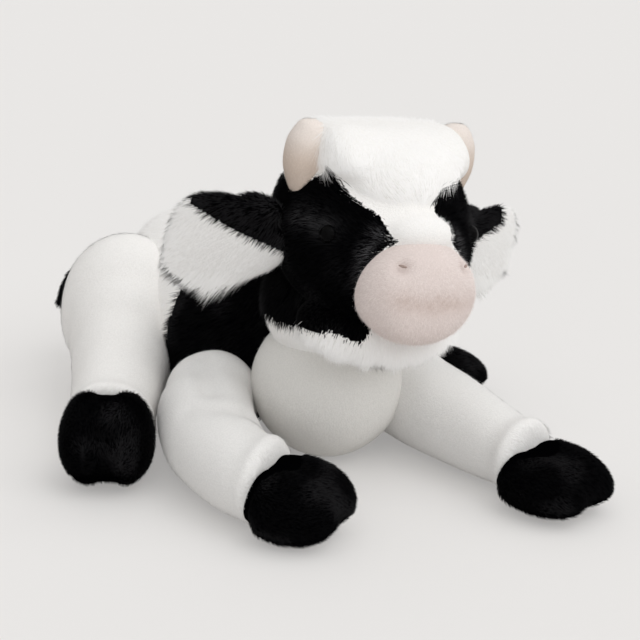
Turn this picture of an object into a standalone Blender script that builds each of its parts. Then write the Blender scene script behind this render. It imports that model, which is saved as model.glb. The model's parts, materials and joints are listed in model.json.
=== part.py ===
"""A plush cow lying on its belly, as the separate stuffed pieces that it is sewn from.

The cow faces -Y, its right side is -X, and the ground is z = 0. The origin is the middle of the
flat that the belly rests on. Each limb, ear and tail starts in a ball that turns in a socket of the
larger form, and the head turns and nods on the neck's ball. Sizes are in metres.
"""
import math

import bmesh
import bpy
from mathutils import Matrix, Vector
from mathutils.bvhtree import BVHTree

# The clearance between two pieces, the margin that a cutter leaves round a ball, and the depth of the
# flats that the cow rests on
GAP = 0.0003
KEEP_MARGIN = 0.0001
FLAT_DEPTH = 0.0005
# How far a cutter runs past what it cuts, and how wide a seam's cutter is
OVERRUN = 0.004
SEAM_CUTTER = 0.090

# The trunk
TRUNK_LENGTH = 0.216
TRUNK_WIDTH = 0.150
TRUNK_HEIGHT = 0.146
TRUNK_FRONT = 0.098
# Each station: distance from the front, half width, bottom and top
TRUNK_STATION_SHARES = (
    (0.00, 0.40, 0.20, 0.78),
    (0.09, 0.74, 0.05, 0.92),
    (0.27, 0.97, 0.00, 0.99),
    (0.52, 1.00, 0.00, 1.00),
    (0.76, 0.95, 0.00, 1.00),
    (0.92, 0.72, 0.08, 0.92),
    (1.00, 0.36, 0.30, 0.74),
)

# The chest, a round bib in front of the trunk, and the neck's ball above it
CHEST_RADIUS = 0.060
CHEST_HEIGHT = 0.117
CHEST_AHEAD = 0.032
NECK_RADIUS = 0.050
NECK_ABOVE_CHEST = 0.007

# The head's place on the neck and how it is turned
HEAD_LEFT = 0.016
HEAD_AHEAD = 0.030
HEAD_ABOVE_NECK = 0.060
HEAD_YAW_DEG = -8
HEAD_ROLL_DEG = 9
HEAD_LENGTH = 0.148
HEAD_WIDTH = 0.150
HEAD_HEIGHT = 0.148
HEAD_FRONT = 0.084
HEAD_BELOW = 0.068
HEAD_STATION_SHARES = (
    (0.00, 0.42, 0.20, 0.52),
    (0.10, 0.62, 0.10, 0.66),
    (0.27, 0.84, 0.03, 0.86),
    (0.46, 0.98, 0.01, 0.98),
    (0.68, 1.00, 0.03, 1.00),
    (0.88, 0.78, 0.14, 0.88),
    (1.00, 0.40, 0.32, 0.66),
)

# The muzzle, the jaw's ruff and the tuft between the horns, each placed from the head's middle
MUZZLE_LENGTH = 0.074
MUZZLE_WIDTH = 0.092
MUZZLE_HEIGHT = 0.080
MUZZLE_AHEAD = 0.074
MUZZLE_BELOW = 0.019
MUZZLE_STATION_SHARES = (
    (0.00, 0.56, 0.24, 0.74),
    (0.14, 0.84, 0.08, 0.92),
    (0.42, 1.00, 0.00, 1.00),
    (0.78, 0.92, 0.04, 0.96),
    (1.00, 0.66, 0.18, 0.80),
)
JAW_LENGTH = 0.092
JAW_WIDTH = 0.126
JAW_HEIGHT = 0.054
JAW_AHEAD = 0.030
JAW_BELOW = 0.060
JAW_STATION_SHARES = (
    (0.00, 0.40, 0.30, 0.80),
    (0.18, 0.76, 0.08, 0.94),
    (0.50, 1.00, 0.00, 1.00),
    (0.82, 0.80, 0.08, 0.94),
    (1.00, 0.42, 0.30, 0.80),
)
TUFT_LENGTH = 0.080
TUFT_WIDTH = 0.112
TUFT_HEIGHT = 0.044
TUFT_ABOVE = 0.062
TUFT_AHEAD = 0.006
# Each station: distance from the middle out, and size there
TUFT_STATION_SHARES = ((-1.0, 0.50), (-0.80, 0.88), (-0.40, 1.0), (0.40, 1.0), (0.80, 0.88), (1.0, 0.50))

# The horns
HORN_HEIGHT = 0.048
HORN_RADIUS = 0.0145
HORN_SPREAD = 0.056
HORN_FOOT = 0.034
HORN_BOW_SHARE = 0.13
HORN_STATION_SHARES = ((0.0, 0.92), (0.35, 1.04), (0.68, 1.0), (0.9, 0.80), (1.0, 0.50))

# The ears
EAR_BALL = 0.011
EAR_ABOVE = -0.014
EAR_OUT = 0.002
EAR_LENGTH = 0.081
EAR_THICKNESS = 0.022
EAR_LINING_START_SHARE = 0.24
# Each station: distance along, half width, half thickness
EAR_STATION_SHARES = (
    (-0.06, 0.18, 0.45),
    (0.14, 0.27, 0.70),
    (0.34, 0.86, 1.00),
    (0.62, 1.06, 0.96),
    (0.86, 0.90, 0.80),
    (1.00, 0.56, 0.46),
)
# The left ear hangs folded along its length, so it is narrower
EAR_RIGHT_WIDTH = 0.076
EAR_RIGHT_SWEEP_DEG = 13
EAR_RIGHT_RAISE_DEG = 8
EAR_RIGHT_ROLL_DEG = 74
EAR_LEFT_WIDTH = 0.064
EAR_LEFT_SWEEP_DEG = 25
EAR_LEFT_RAISE_DEG = -2
EAR_LEFT_ROLL_DEG = 88

# The safety eyes, each a dome on a stem that a washer holds from inside
EYE_RADIUS = 0.0065
EYE_DOME = 0.0050
EYE_STEM_RADIUS = 0.0021
EYE_STEM_LENGTH = 0.0110
EYE_SEAT = 0.0022
EYE_AROUND_DEG = 52
EYE_UP_DEG = 10
EYE_DOME_STEPS = 6
WASHER_RADIUS = 0.0075
WASHER_THICKNESS = 0.0016
WASHER_DEPTH = 0.0062

# The nostrils' stitches
STITCH_LENGTH = 0.0070
STITCH_RADIUS = 0.0011
STITCH_SPREAD = 0.025
STITCH_UP = 0.025

# The front legs
SHOULDER_RADIUS = 0.0390
SHOULDER_INSET = 0.003
SHOULDER_HEIGHT = 0.045
FRONT_RIGHT_FORWARD = 0.080
FRONT_RIGHT_LENGTH = 0.152
FRONT_RIGHT_SPLAY_DEG = 9.5
FRONT_RIGHT_CURL_DEG = 40
FRONT_LEFT_FORWARD = 0.095
FRONT_LEFT_LENGTH = 0.201
FRONT_LEFT_SPLAY_DEG = 6.0
FRONT_LEFT_CURL_DEG = -4
FRONT_LEFT_INSET = 0.012
FRONT_LEG_RADIUS = 0.0400
FRONT_RIGHT_CUFF = 0.0330
FRONT_LEFT_CUFF = 0.0290
CHEST_CLEARANCE = 0.0006

# The hind legs
HAUNCH_RADIUS = 0.056
HAUNCH_HEIGHT = 0.137
HAUNCH_INSET = 0.006
HAUNCH_BEHIND = 0.056
HIND_HEIGHT = 0.048
HIND_RIGHT_LENGTH = 0.166
HIND_RIGHT_SPLAY_DEG = 34.5
HIND_LEFT_LENGTH = 0.164
HIND_LEFT_SPLAY_DEG = 24.6
HIND_RIGHT_RADIUS = 0.0395
HIND_RIGHT_CUFF = 0.0340
HIND_LEFT_RADIUS = 0.0300
HIND_LEFT_CUFF = 0.0215
# Each station: distance from the root to the seam, how far the radius is on its way to the cuff's,
# and how full the form is there
LEG_STATION_SHARES = (
    (0.00, 0.0, 0.84),
    (0.22, 0.1, 1.00),
    (0.52, 0.4, 1.03),
    (0.82, 0.8, 1.00),
    (1.00, 1.0, 0.99),
    (1.08, 1.0, 0.97),
)

# The hooves: half width, half length and half height of each pair of toes
FRONT_RIGHT_HOOF = Vector((0.0355, 0.0425, 0.0285))
FRONT_LEFT_HOOF = Vector((0.0375, 0.0460, 0.0225))
HIND_RIGHT_HOOF = Vector((0.0360, 0.0390, 0.0350))
HIND_LEFT_HOOF = Vector((0.0295, 0.0360, 0.0190))
TOE_WIDTH_SHARE = 0.62
TOE_STAGGER = 0.0012
SEAM_BACK_SHARE = 0.46

# The tail, which curls round the right haunch and ends in a tuft
TAIL_BALL = 0.0105
TAIL_RADIUS = 0.0085
TAIL_UP_DEG = 14
TAIL_REACH = 0.090
TAIL_DROP = 0.044
TAIL_BACK = 0.017
TAIL_TUFT_LENGTH = 0.040
TAIL_TUFT_RADIUS = 0.0135
TAIL_RISE_SHARE = 0.9
TAIL_START_SHARE = 0.02
TAIL_STEP_SHARE = 0.01
TUFT_FULL_SHARE = 0.8
TUFT_TUCK = 0.0009
TAIL_RINGS = 6
TUFT_RINGS = 5

# The sides of balls, of the sockets they turn in and of the forms' cages
BALL_SIDES = 20
SMALL_BALL_SIDES = 12
SOCKET_SIDES = 30
SMALL_SOCKET_SIDES = 18
STITCH_SIDES = 8
LARGE_SIDES = 14
CAGE_SIDES = 10
SLIM_SIDES = 8
TOE_SIDES = 12
SOFT_LEVELS = 1

WHITE = (0.86, 0.85, 0.83)
OFF_WHITE = (0.78, 0.76, 0.73)
CREAM = (0.76, 0.69, 0.64)
PINK_CREAM = (0.85, 0.73, 0.68)
BLACK = (0.012, 0.012, 0.014)
PLASTIC_BLACK = (0.004, 0.004, 0.005)
WASHER_GREY = (0.35, 0.35, 0.35)
FABRIC_ROUGHNESS = 0.95
PLASTIC_ROUGHNESS = 0.15


def clear_scene():
    """Take the objects that a new file starts with out of it."""
    for obj in list(bpy.data.objects):
        bpy.data.objects.remove(obj, do_unlink=True)


def new_collection(name):
    collection = bpy.data.collections.new(name)
    bpy.context.scene.collection.children.link(collection)
    return collection


def make_material(name, colour, roughness=FABRIC_ROUGHNESS):
    material = bpy.data.materials.new(name)
    material.use_nodes = True
    shader = material.node_tree.nodes["Principled BSDF"]
    shader.inputs["Base Color"].default_value = (*colour, 1.0)
    shader.inputs["Roughness"].default_value = roughness
    shader.inputs["Metallic"].default_value = 0.0
    return material


clear_scene()
COW = new_collection("plush_cow")
CUTTERS = new_collection("cutters")


def add_part(name, mesh, colour, parent=None, roughness=FABRIC_ROUGHNESS):
    """Link a mesh as one piece of the cow, with a material of its own."""
    obj = bpy.data.objects.new(name, mesh)
    mesh.name = name
    mesh.shade_smooth()
    mesh.materials.append(make_material(name, colour, roughness))
    COW.objects.link(obj)
    obj.parent = parent
    return obj


def add_cutter(name, mesh, parent=None):
    """Link a mesh that only cuts or joins others."""
    obj = bpy.data.objects.new(name, mesh)
    obj.hide_render = True
    obj.display_type = 'WIRE'
    CUTTERS.objects.link(obj)
    obj.parent = parent
    return obj


def add_axis(name, place, turn=Matrix.Identity(3), parent=None):
    """An empty that carries the pieces of one body, placed on its joint's axis."""
    empty = bpy.data.objects.new(name, None)
    COW.objects.link(empty)
    empty.parent = parent
    empty.location = place
    empty.rotation_euler = turn.to_euler()
    return empty


def turn_about(axis, degrees):
    return Matrix.Rotation(math.radians(degrees), 3, axis)


def mesh_from(bm, name="form"):
    mesh = bpy.data.meshes.new(name)
    bm.to_mesh(mesh)
    bm.free()
    return mesh


def ball_mesh(radii, centre=Vector(), sides=BALL_SIDES, into=None):
    """A ball with its poles up and down, stretched to three radii."""
    bm = into if into else bmesh.new()
    made = bmesh.ops.create_uvsphere(bm, u_segments=sides, v_segments=sides // 2, radius=1.0)
    bmesh.ops.scale(bm, vec=radii, verts=made["verts"])
    bmesh.ops.translate(bm, vec=centre, verts=made["verts"])
    return bm


def box_mesh(low, high):
    """A box between two corners."""
    bm = bmesh.new()
    bmesh.ops.create_cube(bm, size=1.0)
    bmesh.ops.scale(bm, vec=high - low, verts=bm.verts)
    bmesh.ops.translate(bm, vec=(high + low) / 2, verts=bm.verts)
    return mesh_from(bm)


def loft_mesh(rings):
    """A cage of rings, each a list of points, closed by a face at both ends."""
    bm = bmesh.new()
    loops = [[bm.verts.new(point) for point in ring] for ring in rings]
    sides = len(loops[0])
    for near, far in zip(loops, loops[1:]):
        for i in range(sides):
            j = (i + 1) % sides
            bm.faces.new((near[i], near[j], far[j], far[i]))
    bm.faces.new(loops[0])
    bm.faces.new(loops[-1])
    bmesh.ops.recalc_face_normals(bm, faces=bm.faces)
    return mesh_from(bm)


def ring(centre, across, upward, half_width, half_height, sides=CAGE_SIDES):
    """Points round an ellipse, set out so that the smoothed cage comes back to its size."""
    step = 2 * math.pi / sides
    swell = 1 / (2 / 3 + math.cos(step) / 3)
    points = []
    for i in range(sides):
        angle = step * (i + 0.5)
        points.append(centre + across * (half_width * swell * math.cos(angle))
                      + upward * (half_height * swell * math.sin(angle)))
    return points


def loft_along_y(shares, length, width, height, front, bottom, sides=CAGE_SIDES):
    """A soft form from front to back, whose stations are shares of its three sizes."""
    rings = []
    for along, half, low, high in shares:
        centre = Vector((0, along * length - front, bottom + (low + high) / 2 * height))
        rings.append(ring(centre, Vector((1, 0, 0)), Vector((0, 0, 1)),
                          half * width / 2, (high - low) / 2 * height, sides))
    return loft_mesh(rings)


def soften(obj):
    """Smooth a cage, and split its faces the same way in a form and in the cutter made from it."""
    soft = obj.modifiers.new("soft", 'SUBSURF')
    soft.levels = SOFT_LEVELS
    soft.render_levels = SOFT_LEVELS
    split = obj.modifiers.new("split", 'TRIANGULATE')
    split.quad_method = 'FIXED'


def boolean(obj, cutter, operation='DIFFERENCE'):
    change = obj.modifiers.new(operation.lower(), 'BOOLEAN')
    change.operation = operation
    change.object = cutter
    change.solver = 'EXACT'


def swell_by(obj, distance):
    """Move a cutter's smoothed surface out by a clearance."""
    grow = obj.modifiers.new("clearance", 'DISPLACE')
    grow.direction = 'NORMAL'
    grow.mid_level = 0.0
    grow.strength = distance


def grown_cutter(name, form):
    """A cutter in the shape and place of a soft form, larger by the clearance."""
    cutter = add_cutter(name, form.data.copy(), form.parent)
    cutter.location = form.location
    soften(cutter)
    swell_by(cutter, GAP)
    return cutter


def keep_ball(cutter, name, radius, parent):
    """Take a small ball out of a cutter, so that the ball of an ear or tail stays whole."""
    room = Vector((radius + KEEP_MARGIN,) * 3)
    boolean(cutter, add_cutter(name, mesh_from(ball_mesh(room, sides=SMALL_BALL_SIDES)), parent))


def evaluated_tree(obj):
    """The smoothed surface of an object, to seat other pieces on."""
    bpy.context.view_layer.update()
    graph = bpy.context.evaluated_depsgraph_get()
    return BVHTree.FromObject(obj, graph)


def settle(obj):
    """Lower a form until it is a flat's depth into the ground."""
    bpy.context.view_layer.update()
    graph = bpy.context.evaluated_depsgraph_get()
    mesh = obj.evaluated_get(graph).to_mesh()
    lowest = min((obj.matrix_world @ vertex.co).z for vertex in mesh.vertices)
    obj.location.z -= lowest + FLAT_DEPTH


def seat_radius(radius, sides=SOCKET_SIDES):
    """A socket's radius: its flats keep the clearance from a ball that turns in it."""
    return (radius + GAP) / math.cos(math.pi / sides) ** 2


# The ground, which cuts the flats
REACH = TRUNK_LENGTH * 2
ground = add_cutter("ground", box_mesh(Vector((-REACH, -REACH, -OVERRUN)), Vector((REACH, REACH, 0))))

# The trunk and the places that the other forms take from it
trunk = add_part("trunk", loft_along_y(TRUNK_STATION_SHARES, TRUNK_LENGTH, TRUNK_WIDTH, TRUNK_HEIGHT,
                                       TRUNK_FRONT, 0, LARGE_SIDES), BLACK)
soften(trunk)
settle(trunk)
trunk_cutter = grown_cutter("trunk_cutter", trunk)
trunk_tree = evaluated_tree(trunk)

chest_middle = Vector((0, -TRUNK_FRONT - CHEST_AHEAD, CHEST_HEIGHT / 2 - FLAT_DEPTH))
neck_middle = chest_middle + Vector((0, 0, CHEST_HEIGHT / 2 + NECK_ABOVE_CHEST))
shoulder_x = TRUNK_WIDTH / 2 - SHOULDER_INSET
hip_x = TRUNK_WIDTH / 2 - HAUNCH_INSET
haunch_size = Vector((HAUNCH_RADIUS, HAUNCH_RADIUS, HAUNCH_HEIGHT / 2))
haunch_middle = HAUNCH_HEIGHT / 2 - FLAT_DEPTH

# The limbs, from these sizes
LIMBS = {
    "front_leg_right": dict(
        side=-1, hoof="front_hoof_right", root=Vector((-shoulder_x, -FRONT_RIGHT_FORWARD, SHOULDER_HEIGHT)),
        ball=Vector((SHOULDER_RADIUS,) * 3), ball_z=0, length=FRONT_RIGHT_LENGTH,
        splay=FRONT_RIGHT_SPLAY_DEG, curl=FRONT_RIGHT_CURL_DEG, radius=FRONT_LEG_RADIUS,
        cuff=FRONT_RIGHT_CUFF,
        toes=FRONT_RIGHT_HOOF),
    "front_leg_left": dict(
        side=1, hoof="front_hoof_left",
        root=Vector((shoulder_x - FRONT_LEFT_INSET, -FRONT_LEFT_FORWARD, SHOULDER_HEIGHT)),
        ball=Vector((SHOULDER_RADIUS,) * 3), ball_z=0, length=FRONT_LEFT_LENGTH,
        splay=FRONT_LEFT_SPLAY_DEG, curl=FRONT_LEFT_CURL_DEG, radius=FRONT_LEG_RADIUS, cuff=FRONT_LEFT_CUFF,
        toes=FRONT_LEFT_HOOF),
    "hind_leg_right": dict(
        side=-1, hoof="hind_hoof_right", root=Vector((-hip_x, HAUNCH_BEHIND, HIND_HEIGHT)),
        ball=haunch_size, ball_z=haunch_middle - HIND_HEIGHT, length=HIND_RIGHT_LENGTH,
        splay=HIND_RIGHT_SPLAY_DEG, curl=0, radius=HIND_RIGHT_RADIUS, cuff=HIND_RIGHT_CUFF,
        toes=HIND_RIGHT_HOOF),
    "hind_leg_left": dict(
        side=1, hoof="hind_hoof_left", root=Vector((hip_x, HAUNCH_BEHIND, HIND_HEIGHT)),
        ball=haunch_size, ball_z=haunch_middle - HIND_HEIGHT, length=HIND_LEFT_LENGTH,
        splay=HIND_LEFT_SPLAY_DEG, curl=0, radius=HIND_LEFT_RADIUS, cuff=HIND_LEFT_CUFF,
        toes=HIND_LEFT_HOOF),
}


def seats(name, margin_of, sides):
    """One cutter with a ball for each limb, its size changed by margin_of."""
    bm = bmesh.new()
    for limb in LIMBS.values():
        radii = Vector([margin_of(radius) for radius in limb["ball"]])
        ball_mesh(radii, limb["root"] + Vector((0, 0, limb["ball_z"])), sides, bm)
    return add_cutter(name, mesh_from(bm))


limb_sockets = seats("limb_sockets", seat_radius, SOCKET_SIDES)
limb_keep = seats("limb_keep", lambda radius: radius + KEEP_MARGIN, BALL_SIDES)
boolean(trunk_cutter, limb_keep)

# The chest, cut by the trunk, and the neck's socket in both
neck_seat = Vector((seat_radius(NECK_RADIUS),) * 3)
neck_socket = add_cutter("neck_socket", mesh_from(ball_mesh(neck_seat, sides=SOCKET_SIDES)))
neck_socket.location = neck_middle
chest = add_part("chest", mesh_from(ball_mesh(Vector((CHEST_RADIUS, CHEST_RADIUS, CHEST_HEIGHT / 2)))),
                 OFF_WHITE)
chest.location = chest_middle
for cutter in (grown_cutter("plain_trunk", trunk), limb_sockets, neck_socket, ground):
    boolean(chest, cutter)
for cutter in (limb_sockets, neck_socket, ground):
    boolean(trunk, cutter)

# The slab beside the chest that keeps the front legs' way up and down clear
chest_side = CHEST_RADIUS + CHEST_CLEARANCE
chest_front = chest_middle.y - CHEST_RADIUS - OVERRUN
chest_slab = add_cutter("chest_slab", box_mesh(Vector((-chest_side, chest_front, -OVERRUN)),
                                               Vector((chest_side, 0, REACH))))
boolean(chest_slab, limb_keep)

# The neck, an axis for nodding and one for turning
nod_axis = add_axis("neck_nod_axis", neck_middle)
neck = add_part("neck", mesh_from(ball_mesh(Vector((NECK_RADIUS,) * 3))), BLACK, nod_axis)
turn_axis = add_axis("head_turn_axis", Vector(), parent=nod_axis)
head_frame = add_axis("head_frame", Vector((HEAD_LEFT, -HEAD_AHEAD, HEAD_ABOVE_NECK)),
                      turn_about('Z', HEAD_YAW_DEG) @ turn_about('Y', HEAD_ROLL_DEG), turn_axis)


def hoof_toes(toes):
    """Two stuffed toes side by side, as one hoof around its middle."""
    toe = Vector((toes.x * TOE_WIDTH_SHARE, toes.y, toes.z))
    aside = Vector((toes.x - toe.x, 0, 0))
    left = mesh_from(ball_mesh(toe, aside, TOE_SIDES))
    right = mesh_from(ball_mesh(toe, Vector((0, TOE_STAGGER, 0)) - aside, TOE_SIDES))
    return left, right


def leg_curve(size, share):
    """A point of the leg's middle line and its direction: it sets off turned out and ends turned in."""
    curl = math.radians(size["curl"])
    reach = size["length"] / 3
    out = size["side"] * math.sin(curl) * reach
    along = math.cos(curl) * reach
    start = Vector((0, 0, 0))
    end = Vector((0, -size["length"], 0))
    early = Vector((out, -along, 0))
    late = end + Vector((out, along, 0))
    rest = 1 - share
    point = (start * rest ** 3 + early * 3 * rest ** 2 * share + late * 3 * rest * share ** 2
             + end * share ** 3)
    slope = (early - start) * rest ** 2 + (late - early) * 2 * rest * share + (end - late) * share ** 2
    return point, slope.normalized()


def limb(name, size):
    """A leg from its ball to the cuff, and the hoof that is sewn on there."""
    axis = add_axis(name + "_axis", size["root"], turn_about('Z', size["side"] * size["splay"]))
    toes = size["toes"]
    hoof_middle = Vector((0, -size["length"], toes.z - FLAT_DEPTH - size["root"].z))
    toe_in = turn_about('Z', -size["side"] * size["curl"])
    hoof_axis = add_axis(size["hoof"] + "_place", hoof_middle, toe_in, axis)
    seam = toes.y * SEAM_BACK_SHARE
    seam_share = 1 - seam / size["length"]
    rings = []
    for along, way, swell in LEG_STATION_SHARES:
        radius = (size["radius"] + (size["cuff"] - size["radius"]) * way) * swell
        centre, forward = leg_curve(size, along * seam_share)
        lift = radius + OVERRUN / 2 - size["root"].z
        centre.z = max(lift, hoof_middle.z * way)
        rings.append(ring(centre, forward.cross(Vector((0, 0, 1))), Vector((0, 0, 1)), radius, radius))
    leg = add_part(name, loft_mesh(rings), WHITE, axis)
    soften(leg)
    ball = add_cutter(name + "_ball", mesh_from(ball_mesh(size["ball"], Vector((0, 0, size["ball_z"])))),
                      axis)
    boolean(leg, ball, 'UNION')
    ahead = add_cutter(name + "_seam", box_mesh(Vector((-SEAM_CUTTER, -SEAM_CUTTER, -SEAM_CUTTER)),
                                                Vector((SEAM_CUTTER, seam, SEAM_CUTTER))), hoof_axis)
    behind = add_cutter(size["hoof"] + "_seam", box_mesh(Vector((-SEAM_CUTTER, seam - GAP, -SEAM_CUTTER)),
                                                         Vector((SEAM_CUTTER, SEAM_CUTTER, SEAM_CUTTER))),
                        hoof_axis)
    boolean(leg, ahead)
    left, right = hoof_toes(toes)
    hoof = add_part(size["hoof"], left, BLACK, hoof_axis)
    other = add_cutter(size["hoof"] + "_toe", right, hoof_axis)
    boolean(hoof, other, 'UNION')
    boolean(hoof, behind)
    boolean(leg, size["beside"])
    boolean(leg, ground)
    boolean(hoof, ground)


for limb_name, limb_size in LIMBS.items():
    limb_size["beside"] = chest_slab if limb_name.startswith("front") else trunk_cutter
    limb(limb_name, limb_size)

# The head, with its socket for the neck
head = add_part("head", loft_along_y(HEAD_STATION_SHARES, HEAD_LENGTH, HEAD_WIDTH, HEAD_HEIGHT,
                                     HEAD_FRONT, -HEAD_BELOW, LARGE_SIDES), BLACK, head_frame)
soften(head)
head_cutter = grown_cutter("head_cutter", head)
head_tree = evaluated_tree(head)
boolean(head, neck_socket)


def head_surface(start, direction):
    """Where a line from inside the head leaves it, in the head's own frame."""
    point, normal, _, _ = head_tree.ray_cast(start, direction.normalized())
    return point, normal


# The muzzle and the jaw's ruff, cut by what is larger
muzzle = add_part("muzzle", loft_along_y(MUZZLE_STATION_SHARES, MUZZLE_LENGTH, MUZZLE_WIDTH,
                                         MUZZLE_HEIGHT, MUZZLE_LENGTH / 2, -MUZZLE_HEIGHT / 2),
                  PINK_CREAM, head_frame)
muzzle.location = Vector((0, -MUZZLE_AHEAD, -MUZZLE_BELOW))
soften(muzzle)
muzzle_tree = evaluated_tree(muzzle)
muzzle_cutter = grown_cutter("muzzle_cutter", muzzle)
boolean(muzzle, head_cutter)

jaw = add_part("jaw", loft_along_y(JAW_STATION_SHARES, JAW_LENGTH, JAW_WIDTH, JAW_HEIGHT,
                                   JAW_LENGTH / 2, -JAW_HEIGHT / 2), WHITE, head_frame)
jaw.location = Vector((0, -JAW_AHEAD, -JAW_BELOW))
soften(jaw)
chest_room = Vector([seat_radius(size) for size in (CHEST_RADIUS, CHEST_RADIUS, CHEST_HEIGHT / 2)])
chest_cutter = add_cutter("chest_cutter", mesh_from(ball_mesh(chest_room, sides=SOCKET_SIDES)))
chest_cutter.location = chest_middle
for cutter in (head_cutter, muzzle_cutter, chest_cutter, neck_socket):
    boolean(jaw, cutter)

tuft_rings = []
for across, swell in TUFT_STATION_SHARES:
    tuft_rings.append(ring(Vector((across * TUFT_WIDTH / 2, 0, 0)), Vector((0, 1, 0)), Vector((0, 0, 1)),
                           TUFT_LENGTH / 2 * swell, TUFT_HEIGHT / 2 * swell))
tuft = add_part("poll_tuft", loft_mesh(tuft_rings), WHITE, head_frame)
tuft.location = Vector((0, -TUFT_AHEAD, TUFT_ABOVE))
soften(tuft)
boolean(tuft, head_cutter)


def horn(name, side):
    """A short stuffed horn that bows outward as it rises from the head, and that the tuft fits round."""
    rings = []
    for up, swell in HORN_STATION_SHARES:
        bow = side * HORN_BOW_SHARE * HORN_HEIGHT * math.sin(up * math.pi)
        tilt = math.atan2(side * HORN_BOW_SHARE * math.cos(up * math.pi) * math.pi, 1)
        across = Vector((math.cos(tilt), 0, -math.sin(tilt)))
        centre = Vector((bow, 0, up * HORN_HEIGHT))
        rings.append(ring(centre, across, Vector((0, 1, 0)), HORN_RADIUS * swell, HORN_RADIUS * swell,
                          SLIM_SIDES))
    made = add_part(name, loft_mesh(rings), CREAM, head_frame)
    made.location = Vector((side * HORN_SPREAD, 0, HORN_FOOT))
    boolean(tuft, grown_cutter(name + "_clear", made))
    soften(made)
    boolean(made, head_cutter)


horn("horn_right", -1)
horn("horn_left", 1)


def turned(name, profile, parent, colour=None, roughness=FABRIC_ROUGHNESS):
    """A profile turned about its own Z axis, with the points running down its outer side."""
    mesh = bpy.data.meshes.new(name)
    mesh.from_pydata(profile, [(i, i + 1) for i in range(len(profile) - 1)], [])
    if colour:
        made = add_part(name, mesh, colour, parent, roughness)
    else:
        made = add_cutter(name, mesh, parent)
    screw = made.modifiers.new("turn", 'SCREW')
    screw.angle = 2 * math.pi
    screw.steps = SMALL_BALL_SIDES
    screw.render_steps = SMALL_BALL_SIDES
    screw.use_merge_vertices = True
    screw.merge_threshold = GAP / 10
    return made


def eye_profile(clearance, base):
    """The outline of a dome on a stem, from its top down; base is the stem's lower end."""
    dome = [Vector((math.sin(a) * (EYE_RADIUS + clearance), 0, math.cos(a) * (EYE_DOME + clearance)))
            for a in (i * math.pi / 2 / EYE_DOME_STEPS for i in range(EYE_DOME_STEPS + 1))]
    dome[0].x = 0
    stem = EYE_STEM_RADIUS + clearance
    rim = -EYE_SEAT - clearance
    return dome + [Vector((EYE_RADIUS + clearance, 0, rim)), Vector((stem, 0, rim)), Vector((stem, 0, base)),
                   Vector((0, 0, base))]


def eye(side_name, side):
    """A glossy safety eye let into the head, with its washer in a pocket behind."""
    around = math.radians(EYE_AROUND_DEG)
    up = math.radians(EYE_UP_DEG)
    out = Vector((side * math.sin(around) * math.cos(up), -math.cos(around) * math.cos(up), math.sin(up)))
    point, normal = head_surface(Vector(), out)
    frame = add_axis("eye_" + side_name + "_axis", point,
                     normal.to_track_quat('Z', 'Y').to_matrix(), head_frame)
    turned("eye_" + side_name, eye_profile(0, -EYE_STEM_LENGTH), frame, PLASTIC_BLACK, PLASTIC_ROUGHNESS)
    pocket_base = -EYE_STEM_LENGTH - GAP
    pocket = turned("eye_pocket_" + side_name, eye_profile(GAP, pocket_base), frame)
    top = -WASHER_DEPTH + GAP
    low = -WASHER_DEPTH - WASHER_THICKNESS - GAP
    wide = WASHER_RADIUS + GAP
    washer_pocket = turned("washer_pocket_" + side_name,
                           [Vector((0, 0, top)), Vector((wide, 0, top)), Vector((wide, 0, low)),
                            Vector((0, 0, low))], frame)
    bore = EYE_STEM_RADIUS + GAP
    back = -WASHER_DEPTH - WASHER_THICKNESS
    turned("eye_washer_" + side_name,
           [Vector((bore, 0, back)), Vector((bore, 0, -WASHER_DEPTH)),
            Vector((WASHER_RADIUS, 0, -WASHER_DEPTH)), Vector((WASHER_RADIUS, 0, back)),
            Vector((bore, 0, back))], frame, WASHER_GREY)
    boolean(head, pocket)
    boolean(head, washer_pocket)


eye("right", -1)
eye("left", 1)


def nostril_stitch(name, side):
    """A short dark stitch that draws in the muzzle's skin."""
    start = Vector((side * STITCH_SPREAD, 0, STITCH_UP))
    point, normal, _, _ = muzzle_tree.ray_cast(start, Vector((0, -1, 0)))
    frame = add_axis(name + "_axis", muzzle.location + point,
                     normal.to_track_quat('Z', 'Y').to_matrix(), head_frame)
    size = Vector((STITCH_LENGTH / 2, STITCH_RADIUS, STITCH_RADIUS))
    add_part(name, mesh_from(ball_mesh(size, sides=STITCH_SIDES)), PLASTIC_BLACK, frame)
    room = size + Vector((GAP, GAP, GAP))
    boolean(muzzle, add_cutter(name + "_pocket", mesh_from(ball_mesh(room, sides=STITCH_SIDES)), frame))


nostril_stitch("nostril_stitch_right", -1)
nostril_stitch("nostril_stitch_left", 1)


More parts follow.
